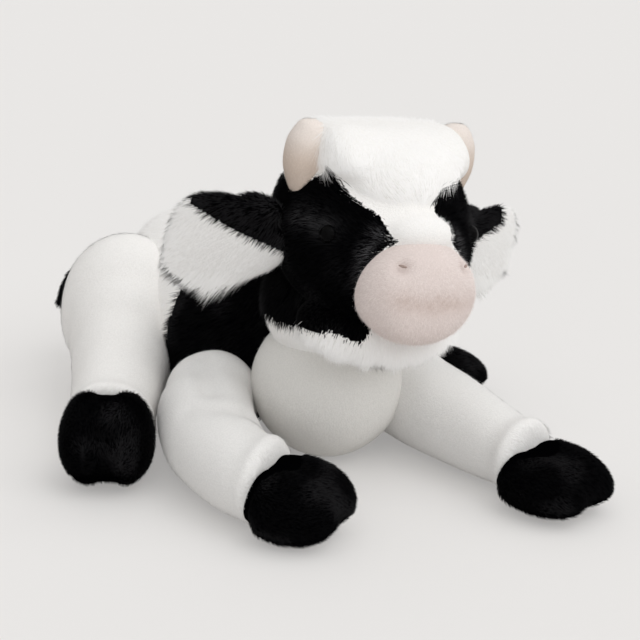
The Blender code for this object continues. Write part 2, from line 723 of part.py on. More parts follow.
def ear(side_name, side, width, sweep, lift, roll):
    """A flat ear on a ball: a black back with a white lining let into its open side."""
    start = Vector((0, 0, EAR_ABOVE))
    point, _ = head_surface(start, Vector((side, 0, 0)))
    turn = turn_about('Z', side * sweep) @ turn_about('Y', -side * lift) @ turn_about('X', -roll)
    root = point + Vector((side * EAR_OUT, 0, 0))
    axis = add_axis("ear_" + side_name + "_axis", root, turn, head_frame)
    rings = []
    for along, half_width, half_thickness in EAR_STATION_SHARES:
        rings.append(ring(Vector((side * along * EAR_LENGTH, 0, 0)), Vector((0, 1, 0)), Vector((0, 0, 1)),
                          half_width * width / 2, half_thickness * EAR_THICKNESS / 2, SLIM_SIDES))
    start_x = EAR_LINING_START_SHARE * EAR_LENGTH
    far = EAR_LENGTH + OVERRUN
    wide = width
    back = add_part("ear_" + side_name, loft_mesh(rings), BLACK, axis)
    lining = add_part("ear_lining_" + side_name, loft_mesh(rings), WHITE, axis)
    for piece in (back, lining):
        soften(piece)
    ball = add_cutter("ear_ball_" + side_name,
                      mesh_from(ball_mesh(Vector((EAR_BALL,) * 3), sides=SMALL_BALL_SIDES)), axis)
    boolean(back, ball, 'UNION')
    inner = sorted((side * start_x, side * far))
    outer = sorted((side * (start_x - GAP), side * (far + OVERRUN)))
    inside = add_cutter("ear_lining_space_" + side_name,
                        box_mesh(Vector((inner[0], -wide, -wide)), Vector((inner[1], wide, -GAP))), axis)
    outside = add_cutter("ear_lining_room_" + side_name,
                         box_mesh(Vector((outer[0], -wide, -wide)), Vector((outer[1], wide, 0))), axis)
    boolean(lining, inside, 'INTERSECT')
    boolean(back, outside)
    clear = grown_cutter("ear_clear_" + side_name, head)
    keep_ball(clear, "ear_keep_" + side_name, EAR_BALL, axis)
    boolean(back, clear)
    socket_size = Vector((seat_radius(EAR_BALL, SMALL_SOCKET_SIDES),) * 3)
    socket = add_cutter("ear_socket_" + side_name,
                        mesh_from(ball_mesh(socket_size, sides=SMALL_SOCKET_SIDES)), axis)
    boolean(head, socket)


ear("right", -1, EAR_RIGHT_WIDTH, EAR_RIGHT_SWEEP_DEG, EAR_RIGHT_RAISE_DEG, EAR_RIGHT_ROLL_DEG)
ear("left", 1, EAR_LEFT_WIDTH, EAR_LEFT_SWEEP_DEG, EAR_LEFT_RAISE_DEG, EAR_LEFT_ROLL_DEG)

# The tail, on a ball at the rump
rump_start = Vector((0, TRUNK_LENGTH / 2 - TRUNK_FRONT, TRUNK_HEIGHT / 2))
tail_up = math.radians(TAIL_UP_DEG)
tail_point, _, _, _ = trunk_tree.ray_cast(rump_start, Vector((0, math.cos(tail_up), math.sin(tail_up))))
tail_axis = add_axis("tail_axis", trunk.location + tail_point)


def tail_route(share):
    """The tail's middle line: out behind the rump, then round to the right and down."""
    angle = share * math.pi / 2
    return Vector((-TAIL_REACH * share ** TAIL_RISE_SHARE, TAIL_BACK * math.sin(angle),
                   -TAIL_DROP * share ** 2))


def tail_cage(start, end, radius_at, count):
    """A cage round the tail's middle line, whose radius follows a function of the way along."""
    rings = []
    for i in range(count):
        way = i / (count - 1)
        share = start + (end - start) * way
        here = tail_route(share)
        along = (tail_route(share + TAIL_STEP_SHARE) - here).normalized()
        across = along.cross(Vector((0, 0, 1))).normalized()
        radius = radius_at(way)
        rings.append(ring(here, across, across.cross(along), radius, radius, SLIM_SIDES))
    return loft_mesh(rings)


def tuft_radius(way):
    return TAIL_RADIUS + (TAIL_TUFT_RADIUS - TAIL_RADIUS) * math.sin(way * math.pi * TUFT_FULL_SHARE)


tail_seam_share = 1 - TAIL_TUFT_LENGTH / TAIL_REACH
tail = add_part("tail", tail_cage(TAIL_START_SHARE, tail_seam_share, lambda way: TAIL_RADIUS,
                                   TAIL_RINGS), WHITE, tail_axis)
soften(tail)
tail_ball = add_cutter("tail_ball", mesh_from(ball_mesh(Vector((TAIL_BALL,) * 3), sides=SMALL_BALL_SIDES)),
                       tail_axis)
boolean(tail, tail_ball, 'UNION')
tuft_start_share = tail_seam_share - TUFT_TUCK / TAIL_REACH
tail_tuft = add_part("tail_tuft", tail_cage(tuft_start_share, 1, tuft_radius, TUFT_RINGS),
                     BLACK, tail_axis)
soften(tail_tuft)
tail_seat = Vector((seat_radius(TAIL_BALL, SMALL_SOCKET_SIDES),) * 3)
tail_socket = add_cutter("tail_socket", mesh_from(ball_mesh(tail_seat, sides=SMALL_SOCKET_SIDES)),
                         tail_axis)
tail_clear = grown_cutter("tail_clear", trunk)
keep_ball(tail_clear, "tail_keep", TAIL_BALL, tail_axis)
boolean(tail, tail_clear)
boolean(trunk, tail_socket)
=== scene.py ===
"""The looks of a plush cow that lies on its belly: skins, pile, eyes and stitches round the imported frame.

Lengths are in metres. The cow faces -Y, its right side is -X, and the ground is z = 0. A skin is a surface
worked out with numpy and smoothed into one form; its pile is thin closed spikes that stand on it, coloured at
their roots, so that a patch of one colour lies over the next with a ragged edge.
"""
import json
import math

import bpy
import numpy as np
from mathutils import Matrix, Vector


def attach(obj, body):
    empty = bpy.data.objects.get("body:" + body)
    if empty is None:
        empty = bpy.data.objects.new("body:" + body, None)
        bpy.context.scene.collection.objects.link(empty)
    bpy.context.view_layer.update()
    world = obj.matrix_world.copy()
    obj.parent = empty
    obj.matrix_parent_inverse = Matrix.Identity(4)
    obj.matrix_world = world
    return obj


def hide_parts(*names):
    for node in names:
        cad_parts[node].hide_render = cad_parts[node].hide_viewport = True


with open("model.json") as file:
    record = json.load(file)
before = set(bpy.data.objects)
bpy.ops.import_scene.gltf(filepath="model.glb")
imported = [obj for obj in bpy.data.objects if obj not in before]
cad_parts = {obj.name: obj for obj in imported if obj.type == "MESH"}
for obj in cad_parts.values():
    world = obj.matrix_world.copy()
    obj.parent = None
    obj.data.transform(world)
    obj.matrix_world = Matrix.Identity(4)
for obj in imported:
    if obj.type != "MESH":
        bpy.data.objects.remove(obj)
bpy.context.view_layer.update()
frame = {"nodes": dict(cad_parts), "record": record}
JOINTS = {joint["name"]: joint for joint in frame["record"]["behaviour"]["joints"]}
RNG = np.random.default_rng(20)

# How deep a skin lies inside the form that the pile fills out, how high the stuffing's lumps are, the lowest
# that anything reaches, and how far the colours of the pile stray over a patch's edge
INSET = 0.0022
LUMPS = 0.0004
GROUND = 0.0005
FRAY = 0.0013
UP = np.array((0.0, 0.0, 1.0))

# The head's place and turn
HEAD_AT = np.array((0.016, -0.160, 0.1835))
HEAD_YAW_DEG = -8
HEAD_ROLL_DEG = 9


def unit(vectors):
    """Vectors at length 1."""
    return vectors / np.maximum(np.linalg.norm(vectors, axis=-1, keepdims=True), 1e-12)


def turn(axis, degrees):
    """A rotation matrix about X, Y or Z."""
    c, s = math.cos(math.radians(degrees)), math.sin(math.radians(degrees))
    if axis == "X":
        return np.array(((1, 0, 0), (0, c, -s), (0, s, c)))
    if axis == "Y":
        return np.array(((c, 0, s), (0, 1, 0), (-s, 0, c)))
    return np.array(((c, -s, 0), (s, c, 0), (0, 0, 1)))


HEAD_TURN = turn("Z", HEAD_YAW_DEG) @ turn("Y", HEAD_ROLL_DEG)


def to_world(points, at, rotation):
    return points @ rotation.T + at


def to_local(points, at, rotation):
    return (points - at) @ rotation


def in_head(points):
    """Points as the head sees them: x across, y to the back, z up."""
    return to_local(points, HEAD_AT, HEAD_TURN)


def head_place(x, y, z):
    return to_world(np.array((x, y, z)), HEAD_AT, HEAD_TURN)


def smoothstep(low, high, value):
    share = np.clip((value - low) / (high - low), 0, 1)
    return share * share * (3 - 2 * share)


def wave_noise(points, size, seed):
    """A smooth random number from -1 to 1 at each point: the mean of a few slanted sine waves."""
    rng = np.random.default_rng(seed)
    waves = unit(rng.normal(size=(7, 3))) * (2 * math.pi / size) * rng.uniform(0.6, 1.5, (7, 1))
    return np.sin(points @ waves.T + rng.uniform(0, 6.28, 7)).mean(axis=1) * 1.9


# Forms: a loft of ellipses, an ellipsoid and a tube, each with its grid and a test for being inside it

def through(knots, count, odd):
    """Rows on a smooth curve through the knots. Beyond a pole the rows mirror, and odd columns change sign."""
    knots = np.asarray(knots, float)
    sign = np.where(odd, -1.0, 1.0)
    rows = np.vstack([knots[1] * sign, knots, knots[-2] * sign])
    place = np.linspace(0, len(knots) - 1, count)
    i = np.minimum(place.astype(int), len(knots) - 2)
    f = (place - i)[:, None]
    a, b, c, d = rows[i], rows[i + 1], rows[i + 2], rows[i + 3]
    return 0.5 * (2 * b + (c - a) * f + (2 * a - 5 * b + 4 * c - d) * f ** 2 + (3 * b - a - 3 * c + d) * f ** 3)


class Form:
    """A closed grid of points and the test that says how far inside it a point is."""

    def __init__(self, grid, inside, body):
        self.grid = grid
        self.inside = inside
        self.body = body


def circle(sides):
    angle = np.linspace(0, 2 * math.pi, sides, endpoint=False)
    return np.cos(angle), np.sin(angle)


def loft(stations, size, front, bottom, at, rotation, body, rows=64, sides=72):
    """Ellipses from front to back; a station is its distance, half width, bottom and top as shares of size."""
    length, width, height = size
    table = np.asarray(stations, float)
    y = table[:, 0] * length - front
    half = table[:, 1] * width / 2
    mid = bottom + (table[:, 2] + table[:, 3]) / 2 * height
    tall = (table[:, 3] - table[:, 2]) / 2 * height
    line = through(np.column_stack([y, half, mid, tall]), rows, np.array((False, True, False, True)))
    cos, sin = circle(sides)
    ones = np.ones(sides)
    grid = np.stack([np.outer(line[:, 1], cos), np.outer(line[:, 0], ones),
                     line[:, 2:3] + np.outer(line[:, 3], sin)], axis=2)

    def inside(points, depth):
        local = to_local(points, at, rotation)
        order = np.argsort(line[:, 0])
        known = line[order, 0]
        w = np.interp(local[:, 1], known, line[order, 1], 0, 0) - depth
        m = np.interp(local[:, 1], known, line[order, 2])
        t = np.interp(local[:, 1], known, line[order, 3], 0, 0) - depth
        ok = (w > 0) & (t > 0)
        w = np.where(ok, w, 1)
        t = np.where(ok, t, 1)
        return ok & ((local[:, 0] / w) ** 2 + ((local[:, 2] - m) / t) ** 2 < 1)

    return Form(to_world(grid, at, rotation), inside, body)


def ball(radii, at, rotation, body, rows=40, sides=56):
    """An ellipsoid with its poles up and down."""
    radii = np.asarray(radii, float)
    angle = np.linspace(0, math.pi, rows)
    cos, sin = circle(sides)
    grid = np.stack([np.outer(np.sin(angle), cos), np.outer(np.sin(angle), sin),
                     np.outer(np.cos(angle), np.ones(sides))], axis=2) * radii

    def inside(points, depth):
        local = to_local(points, at, rotation) / np.maximum(radii - depth, 1e-4)
        return (local ** 2).sum(axis=1) < 1

    return Form(to_world(grid, at, rotation), inside, body)


def tube(centres, radii, body, flat=1.0, sides=48):
    """Rings square to a path in a level plane; the first and last radius close it, and flat lowers it."""
    centres = np.asarray(centres, float)
    radii = np.asarray(radii, float)
    ahead = unit(np.gradient(centres, axis=0))
    across = unit(np.cross(ahead, UP))
    lift = np.cross(across, ahead)
    cos, sin = circle(sides)
    grid = (centres[:, None] + across[:, None] * (radii[:, None] * cos)[..., None]
            + lift[:, None] * (radii[:, None] * flat * sin)[..., None])

    def inside(points, depth):
        found = np.zeros(len(points), bool)
        for centre, radius in zip(centres, radii):
            if radius > depth:
                found |= ((points - centre) ** 2).sum(axis=1) < (radius - depth) ** 2
        return found

    return Form(grid, inside, body)


# Meshes

def grid_mesh(name, grids):
    """One mesh of closed grids, whose first and last rows are poles."""
    points, faces, sizes = [], [], []
    start = 0
    for grid in grids:
        rows, sides, _ = grid.shape
        inner = grid[1:-1].reshape(-1, 3)
        points += [grid[0].mean(axis=0)[None], inner, grid[-1].mean(axis=0)[None]]
        i, j = np.meshgrid(np.arange(rows - 3), np.arange(sides), indexing="ij")
        k = (j + 1) % sides
        quads = np.stack([i * sides + j, i * sides + k, (i + 1) * sides + k, (i + 1) * sides + j], axis=-1)
        j = np.arange(sides)
        k = (j + 1) % sides
        last = (rows - 3) * sides
        first_fan = np.stack([np.full(sides, -1), k, j], axis=1)
        last_fan = np.stack([last + j, last + k, np.full(sides, last + sides)], axis=1)
        faces.append((quads.reshape(-1, 4) + start + 1, np.vstack([first_fan, last_fan]) + start + 1))
        start += len(inner) + 2
    points = np.concatenate(points)
    loops = np.concatenate([part.ravel() for pair in faces for part in pair])
    sizes = np.concatenate([np.full(len(part), part.shape[1]) for pair in faces for part in pair])
    return raw_mesh(name, points, loops, sizes)


def raw_mesh(name, points, loops, sizes):
    """A smooth mesh from flat arrays of corners and face sizes."""
    mesh = bpy.data.meshes.new(name)
    mesh.vertices.add(len(points))
    mesh.vertices.foreach_set("co", np.ascontiguousarray(points, np.float32).ravel())
    mesh.loops.add(len(loops))
    mesh.loops.foreach_set("vertex_index", np.ascontiguousarray(loops, np.int32))
    mesh.polygons.add(len(sizes))
    starts = np.concatenate([[0], np.cumsum(sizes)[:-1]])
    mesh.polygons.foreach_set("loop_start", starts.astype(np.int32))
    mesh.polygons.foreach_set("use_smooth", np.ones(len(sizes), bool))
    mesh.update(calc_edges=True)
    return mesh


def make_object(name, mesh):
    obj = bpy.data.objects.new(name, mesh)
    bpy.context.scene.collection.objects.link(obj)
    return obj


def points_of(mesh):
    out = np.empty(len(mesh.vertices) * 3, np.float32)
    mesh.vertices.foreach_get("co", out)
    return out.reshape(-1, 3).astype(float)


def normals_of(mesh):
    out = np.empty(len(mesh.vertices) * 3, np.float32)
    mesh.vertex_normals.foreach_get("vector", out)
    return out.reshape(-1, 3).astype(float)


def triangles_of(mesh):
    mesh.calc_loop_triangles()
    out = np.empty(len(mesh.loop_triangles) * 3, np.int32)
    mesh.loop_triangles.foreach_get("vertices", out)
    return out.reshape(-1, 3)


def signed_volume(points, triangles):
    a, b, c = (points[triangles[:, n]] for n in range(3))
    return (a * np.cross(b, c)).sum() / 6


def groove(points, line, depth, width):
    """How far a soft crease draws the points in: a bell curve across the nearest stretch of its line."""
    away = np.full(len(points), 1.0)
    for start, end in zip(line, line[1:]):
        start, along = np.asarray(start), np.subtract(end, start)
        share = np.clip((points - start) @ along / (along @ along), 0, 1)
        away = np.minimum(away, np.linalg.norm(points - start - share[:, None] * along, axis=1))
    return depth * np.exp(-(away / width) ** 2)


def form_skin(name, forms, voxel=0.0025, rounds=6, inset=INSET, shape=None):
    """The forms' grids melted into one smooth closed skin, then drawn in by the pile's depth.

    Voxel remeshing joins the grids, smoothing takes out the steps and the valleys, shape moves the points as
    it likes, the stuffing leaves low lumps, and whatever would reach under the ground is laid flat on it.
    """
    mesh = grid_mesh(name, [form.grid for form in forms])
    if signed_volume(points_of(mesh), triangles_of(mesh)) < 0:
        mesh.flip_normals()
    obj = make_object(name, mesh)
    join = obj.modifiers.new("join", "REMESH")
    join.mode = "VOXEL"
    join.voxel_size = voxel
    join.use_smooth_shade = True
    smooth = obj.modifiers.new("smooth", "SMOOTH")
    smooth.factor = 0.5
    smooth.iterations = rounds
    bpy.context.view_layer.update()
    solid = bpy.data.meshes.new_from_object(obj.evaluated_get(bpy.context.evaluated_depsgraph_get()))
    solid.name = name
    obj.modifiers.clear()
    obj.data = solid
    bpy.data.meshes.remove(mesh)
    points = points_of(solid)
    normals = normals_of(solid)
    if shape:
        points = shape(points, normals)
    points -= normals * (inset - LUMPS * wave_noise(points, 0.060, len(name)))[:, None]
    points[:, 2] = np.maximum(points[:, 2], GROUND)
    solid.vertices.foreach_set("co", points.astype(np.float32).ravel())
    solid.polygons.foreach_set("use_smooth", np.ones(len(solid.polygons), bool))
    solid.update()
    return obj


def paint(obj, name, values):
    """A number at each point of a piece, for its material."""
    layer = obj.data.attributes.new(name, "FLOAT", "POINT")
    layer.data.foreach_set("value", np.ascontiguousarray(values, np.float32))


# Materials

class Number:
    """A socket of a node tree that can be used in sums."""

    def __init__(self, tree, socket):
        self.tree = tree
        self.socket = socket

    def _math(self, operation, *values):
        return self.tree.node("ShaderNodeMath", {"operation": operation}, dict(enumerate(values)))[0]

    def __add__(self, other):
        return self._math("ADD", self, other)

    def __mul__(self, other):
        return self._math("MULTIPLY", self, other)

    def __sub__(self, other):
        return self._math("SUBTRACT", self, other)

    def __rsub__(self, other):
        return self._math("SUBTRACT", other, self)

    __radd__ = __add__
    __rmul__ = __mul__

    def between(self, low, high):
        """0 below low, 1 above high, and a smooth way between."""
        return self.tree.node("ShaderNodeMapRange", {"interpolation_type": "SMOOTHSTEP"},
                              {"Value": self, "From Min": low, "From Max": high})[0]


class Tree:
    """A node tree and its node maker."""

    def __init__(self, node_tree):
        self.nodes = node_tree.nodes
        self.links = node_tree.links

    def _feed(self, socket, value):
        if isinstance(value, Number):
            self.links.new(value.socket, socket)
        elif isinstance(value, tuple) and len(value) == 3 and socket.type == "RGBA":
            socket.default_value = (*value, 1.0)
        else:
            socket.default_value = value

    def make(self, kind, settings, sockets):
        """Any node: its settings first, then the values or links of its sockets."""
        made = self.nodes.new(kind)
        for key, value in settings.items():
            setattr(made, key, value)
        for key, value in sockets.items():
            self._feed(made.inputs[key], value)
        return made

    def node(self, kind, settings, sockets):
        """The same, for its outputs that are in use."""
        made = self.make(kind, settings, sockets)
        return [Number(self, socket) for socket in made.outputs if socket.enabled]


class Finish(Tree):
    """A material with one Principled shader."""

    def __init__(self, name, roughness, **constants):
        self.material = bpy.data.materials.new(name)
        self.material.use_nodes = True
        super().__init__(self.material.node_tree)
        self.shader = self.nodes["Principled BSDF"]
        self.shader.inputs["Roughness"].default_value = roughness
        for socket, value in constants.items():
            self.shader.inputs[socket.replace("_", " ")].default_value = value

    def attribute(self, name):
        return self.node("ShaderNodeAttribute", {"attribute_name": name}, {})[2]

    def place(self):
        return self.node("ShaderNodeTexCoord", {}, {})[3]

    def noise(self, scale, detail=2.0, rough=0.5):
        return self.node("ShaderNodeTexNoise", {}, {"Vector": self.place(), "Scale": scale, "Detail": detail,
                                                    "Roughness": rough})[0]

    def mix(self, share, first, second, blend="MIX"):
        made = self.make("ShaderNodeMix", {"data_type": "RGBA", "blend_type": blend},
                         {0: share, 6: first, 7: second})
        return Number(self, made.outputs[2])

    def grey(self, level):
        return self.node("ShaderNodeCombineColor", {}, {0: level, 1: level, 2: level})[0]

    def bump(self, height, distance, strength=1.0):
        self._feed(self.shader.inputs["Normal"],
                   self.node("ShaderNodeBump", {}, {"Height": height, "Distance": distance,
                                                    "Strength": strength})[0])

    def colour(self, value):
        self._feed(self.shader.inputs["Base Color"], value)
        return self.material


def pile_finish(name, root, tip, spread=0.05, roughness=0.9, painted_shading_colour=None, sheen=0.0, painted_sheen=None):
    """Pile: darker at its roots, a painted shade deep in the pile; each fibre a little lighter or darker than
    the next, with soft clouds over it.

    painted_sheen is the colour painted where dark pile would catch the light: a painted sheen. Pile has no
    mirror-like layer, which would leave a dark rim on it.
    """
    made = Finish(name, roughness, Specular_IOR_Level=0.0, Sheen_Weight=sheen, Sheen_Roughness=0.4)
    along = made.attribute("along")
    each = made.attribute("each")
    cloud = made.noise(38.0, 3.0)
    light = made.mix(along.between(0.0, 0.75), root, tip)
    # Painted shade and painted light, mixed in as far as the painted_shading attribute says
    if painted_shading_colour:
        light = made.mix(made.attribute("painted_shading"), light, painted_shading_colour)
    # Painted sheen on the dark pile, as much as the gleam attribute says
    if painted_sheen:
        light = made.mix(made.attribute("gleam"), light, painted_sheen)
    level = (each - 0.5) * spread + (cloud - 0.5) * spread + 1.0
    return made.colour(made.mix(1.0, light, made.grey(level), "MULTIPLY"))


def skin_finish(name, dark, pale, roughness=0.95, painted_shading_colour=None):
    """The cloth under the pile: the patch that the pile over it has, with a fine woven grain."""
    made = Finish(name, roughness, Specular_IOR_Level=0.0)
    patch = made.attribute("pale")
    grain = made.noise(900.0, 2.0)
    colour = made.mix(patch.between(0.35, 0.65), dark, pale)
    # The same painted shade and light on the backing cloth
    if painted_shading_colour:
        colour = made.mix(made.attribute("painted_shading"), colour, painted_shading_colour)
    level = (grain - 0.5) * 0.2 + 1.0
    made.bump(grain, 0.0006, 0.6)
    return made.colour(made.mix(1.0, colour, made.grey(level), "MULTIPLY"))


# Each root colour is darker than its tip: painted shade deep in the pile. The skins under the pile take the root
# colours, so they carry painted shade too.
WHITE_ROOT, WHITE_TIP = (0.86, 0.845, 0.825), (0.89, 0.88, 0.87)
# A greyer white: the ear linings' own cloth, and painted shade on the front legs
LINING_AND_SHADE_ROOT, LINING_AND_SHADE_TIP = (0.785, 0.775, 0.76), (0.82, 0.812, 0.80)
CHEST_ROOT, CHEST_TIP = (0.765, 0.75, 0.72), (0.81, 0.795, 0.765)
BLACK_ROOT, BLACK_TIP, BLACK_PAINTED_SHEEN = (0.0006, 0.0006, 0.0008), (0.0014, 0.0014, 0.0017), (0.060, 0.059, 0.062)
CREAM_ROOT, CREAM_TIP = (0.70, 0.61, 0.58), (0.80, 0.72, 0.69)
# The brown painted shade of the muzzle, along its mouth crease and in its nostrils
CREAM_PAINTED_SHADE = (0.42, 0.295, 0.245)
HORN_ROOT, HORN_TIP = (0.62, 0.515, 0.44), (0.80, 0.715, 0.645)
# The lighter colour painted on the horns' tops as painted light
HORN_PAINTED_LIGHT = (0.86, 0.80, 0.76)

WHITE_PILE = pile_finish("white_pile", WHITE_ROOT, WHITE_TIP)
LINING_AND_SHADE_PILE = pile_finish("lining_and_shaded_white_pile", LINING_AND_SHADE_ROOT, LINING_AND_SHADE_TIP)
CHEST_PILE = pile_finish("chest_pile", CHEST_ROOT, CHEST_TIP)
BLACK_PILE = pile_finish("black_pile", BLACK_ROOT, BLACK_TIP, 0.6, 0.6, sheen=0.02, painted_sheen=BLACK_PAINTED_SHEEN)
CREAM_PILE = pile_finish("cream_nap", CREAM_ROOT, CREAM_TIP, 0.08, painted_shading_colour=CREAM_PAINTED_SHADE)
HORN_PILE = pile_finish("horn_nap", HORN_ROOT, HORN_TIP, 0.06, painted_shading_colour=HORN_PAINTED_LIGHT)
PATCHED_SKIN = skin_finish("backing_cloth", BLACK_ROOT, WHITE_ROOT)
LINING_AND_SHADE_SKIN = skin_finish("lining_and_shaded_backing", BLACK_ROOT, LINING_AND_SHADE_ROOT)
CHEST_SKIN = skin_finish("chest_backing", CHEST_ROOT, CHEST_ROOT)
CREAM_SKIN = skin_finish("cream_backing", CREAM_ROOT, CREAM_ROOT, painted_shading_colour=CREAM_PAINTED_SHADE)
HORN_SKIN = skin_finish("horn_backing", HORN_ROOT, HORN_ROOT, painted_shading_colour=HORN_PAINTED_LIGHT)


# Pile

def spread_roots(mesh, count):
    """Random places on a skin, as many as fit its area, with their smooth normals."""
    points, normals, triangles = points_of(mesh), normals_of(mesh), triangles_of(mesh)
    a, b, c = (points[triangles[:, n]] for n in range(3))
    area = np.linalg.norm(np.cross(b - a, c - a), axis=1)
    chosen = np.searchsorted(np.cumsum(area) / area.sum(), RNG.random(count))
    chosen = np.minimum(chosen, len(triangles) - 1)
    u, v = RNG.random((2, count))
    flip = u + v > 1
    u, v = np.where(flip, 1 - u, u), np.where(flip, 1 - v, v)
    weights = np.stack([1 - u - v, u, v], axis=1)
    corners = triangles[chosen]
    roots = (points[corners] * weights[..., None]).sum(axis=1)
    return roots, unit((normals[corners] * weights[..., None]).sum(axis=1))


def spikes(name, roots, normals, ways, lengths, widths, droop, finish, bend=False, flat=False):
    """Closed three-sided spikes. With a bend each has a ring at its middle, and droop pulls its tip down.

    A flat spike lies on its wide side with a low ridge on top. The corners keep the skin's own normals, turned
    up a little and mixed with a little of the spike's, so that the pile catches the light as one soft surface.
    """
    count = len(roots)
    crisp = 0.06 if flat else 0.12
    side = unit(np.cross(ways, normals + RNG.normal(scale=0.1 if flat else 0.2, size=(count, 3))))
    other = np.cross(ways, side)
    if flat:
        around = np.stack([side, -side, -0.4 * other], axis=1)
    else:
        angles = np.array((0, 2 * math.pi / 3, 4 * math.pi / 3)) + RNG.uniform(0, 2, (count, 1))
        around = side[:, None] * np.cos(angles)[..., None] + other[:, None] * np.sin(angles)[..., None]
    base = roots - normals * (0.0010 if flat else 0.0004)
    half = (widths / 2)[:, None, None]
    pull = np.zeros((count, 3))
    pull[:, 2] = -droop * lengths
    tips = base + ways * lengths[:, None] + pull
    if bend:
        middle = base + ways * (lengths * 0.52)[:, None] + pull * 0.22
        rings = np.concatenate([base[:, None] + around * half, middle[:, None] + around * half * 0.8,
                                tips[:, None]], axis=1)
        faces = np.array(((0, 2, 1), (0, 1, 4), (0, 4, 3), (1, 2, 5), (1, 5, 4), (2, 0, 3), (2, 3, 5),
                          (3, 4, 6), (4, 5, 6), (5, 3, 6)))
        along = np.array((0, 0, 0, 0.5, 0.5, 0.5, 1.0))
    else:
        rings = np.concatenate([base[:, None] + around * half, tips[:, None]], axis=1)
        faces = np.array(((0, 2, 1), (0, 1, 3), (1, 2, 3), (2, 0, 3)))
        along = np.array((0, 0, 0, 1.0))
    each = rings.shape[1]
    points = rings.reshape(-1, 3)
    points[:, 2] = np.maximum(points[:, 2], GROUND * (1 + RNG.random(len(points))))
    loops = (faces[None] + (np.arange(count) * each)[:, None, None]).reshape(-1)
    mesh = raw_mesh(name, points, loops, np.full(count * len(faces), 3))
    soft = np.repeat(unit(normals + UP * 0.4), each, axis=0)
    own = unit(np.concatenate([around * 1.0, around * 1.0, normals[:, None]], axis=1) if bend
               else np.concatenate([around, normals[:, None]], axis=1)).reshape(-1, 3)
    mesh.normals_split_custom_set_from_vertices(unit(soft + own * crisp).astype(np.float32))
    obj = make_object(name, mesh)
    obj.visible_shadow = False
    obj.visible_diffuse = False
    paint(obj, "along", np.tile(along, count))
    paint(obj, "each", np.repeat(RNG.random(count), each))
    cells = math.ceil(math.sqrt(count))
    corner = np.stack([np.arange(count) % cells, np.arange(count) // cells], axis=1) / cells
    spot = np.array(((0.2, 0.2), (0.8, 0.2), (0.5, 0.35), (0.25, 0.5), (0.75, 0.5), (0.5, 0.6), (0.5, 0.85)))
    spot = spot if bend else np.array(((0.2, 0.2), (0.8, 0.2), (0.5, 0.35), (0.5, 0.85)))
    at = (corner[:, None] + spot[None] / cells).reshape(-1, 2)
    layer = mesh.uv_layers.new(name="OFBake")
    layer.data.foreach_set("uv", at[loops].astype(np.float32).ravel())
    mesh.materials.append(finish)
    return obj


ALL_FORMS = []


def buried(points, own, body):
    """True where a point lies inside another form, deeper when that form belongs to another body."""
    found = np.zeros(len(points), bool)
    for form in ALL_FORMS:
        if form not in own:
            found |= form.inside(points, 0.0035 if form.body == body else 0.0060)
    return found


def any_gleam(points):
    """Where dark pile catches the light: wide soft stretches."""
    return 0.03 + 0.14 * smoothstep(-0.1, 0.8, wave_noise(points, 0.045, 61))


def cover(name, skin, own, body, density, length, width, comb, finishes, lean=(5.0, 1.8), droop=0.0, pale=None,
          wild=0.08, bend=False, keep=None, painted_shading=None, gleam=None):
    """Pile over a skin, one piece for each colour.

    density is the fibres on a square centimetre, comb gives the way they lie, lean how far white and black
    pile lie over (long white pile less far), and pale says where the skin is white. The colours are told apart
    at a place moved a little at random, which frays the patch's edge.
    """
    triangles = triangles_of(skin.data)
    points = points_of(skin.data)
    a, b, c = (points[triangles[:, n]] for n in range(3))
    area = np.linalg.norm(np.cross(b - a, c - a), axis=1).sum() / 2
    roots, normals = spread_roots(skin.data, int(area * 1e4 * density))
    ok = ~buried(roots, own, body) & (roots[:, 2] > GROUND * 1.5)
    ok &= (normals[:, 2] > -0.5) | (roots[:, 2] > 0.030) | (RNG.random(len(roots)) < 0.25)
    if keep is not None:
        ok &= keep(roots)
    roots, normals = roots[ok], normals[ok]
    way = comb(roots)
    swirl = np.stack([wave_noise(roots, 0.035, 100 + n) for n in range(3)], axis=1)
    way = unit(way) + swirl * 0.35
    way -= normals * (way * normals).sum(axis=1, keepdims=True)
    moved = roots + RNG.normal(scale=FRAY, size=roots.shape)
    white = np.ones(len(roots), bool) if pale is None else pale(moved) > 0.5
    size = length(moved) if callable(length) else np.full(len(roots), length)
    over = np.where(white, lean[0] * np.clip(0.0080 / size, 0.25, 1), lean[1])[:, None]
    ways = unit((normals + unit(way) * over) / np.sqrt(1 + over ** 2)
                + RNG.normal(scale=wild, size=roots.shape))
    lengths = size * RNG.uniform(0.7, 1.15, len(roots))
    widths = np.full(len(roots), width) * RNG.uniform(0.7, 1.2, len(roots))
    made = []
    for colour, chosen in (("white", white), ("black", ~white)):
        if colour in finishes and chosen.any():
            fur = spikes(name + "_" + colour, roots[chosen], normals[chosen], ways[chosen], lengths[chosen],
                         widths[chosen], droop, finishes[colour], bend, colour == "white")
            # Painted shade and light, copied onto each fibre
            if painted_shading is not None:
                paint(fur, "painted_shading", np.repeat(painted_shading(roots[chosen]), 7 if bend else 4))
            if colour == "black":
                shine = (gleam or any_gleam)(roots[chosen])
                paint(fur, "gleam", np.repeat(shine, 7 if bend else 4))
            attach(fur, body)
            made.append(fur)
    return made


def dress(skin, body, finish, slot, *nodes, pale=None, painted_shading=None):
    """Give a skin its material, its body and the nodes that it stands for."""
    # Painted shade and light on the skin
    if painted_shading is not None:
        paint(skin, "painted_shading", painted_shading(points_of(skin.data)))
    values = np.ones(len(skin.data.vertices)) if pale is None else pale(points_of(skin.data))
    paint(skin, "pale", values)
    skin.data.materials.clear()
    skin.data.materials.append(finish)
    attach(skin, body)
    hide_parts(*nodes)


# The forms

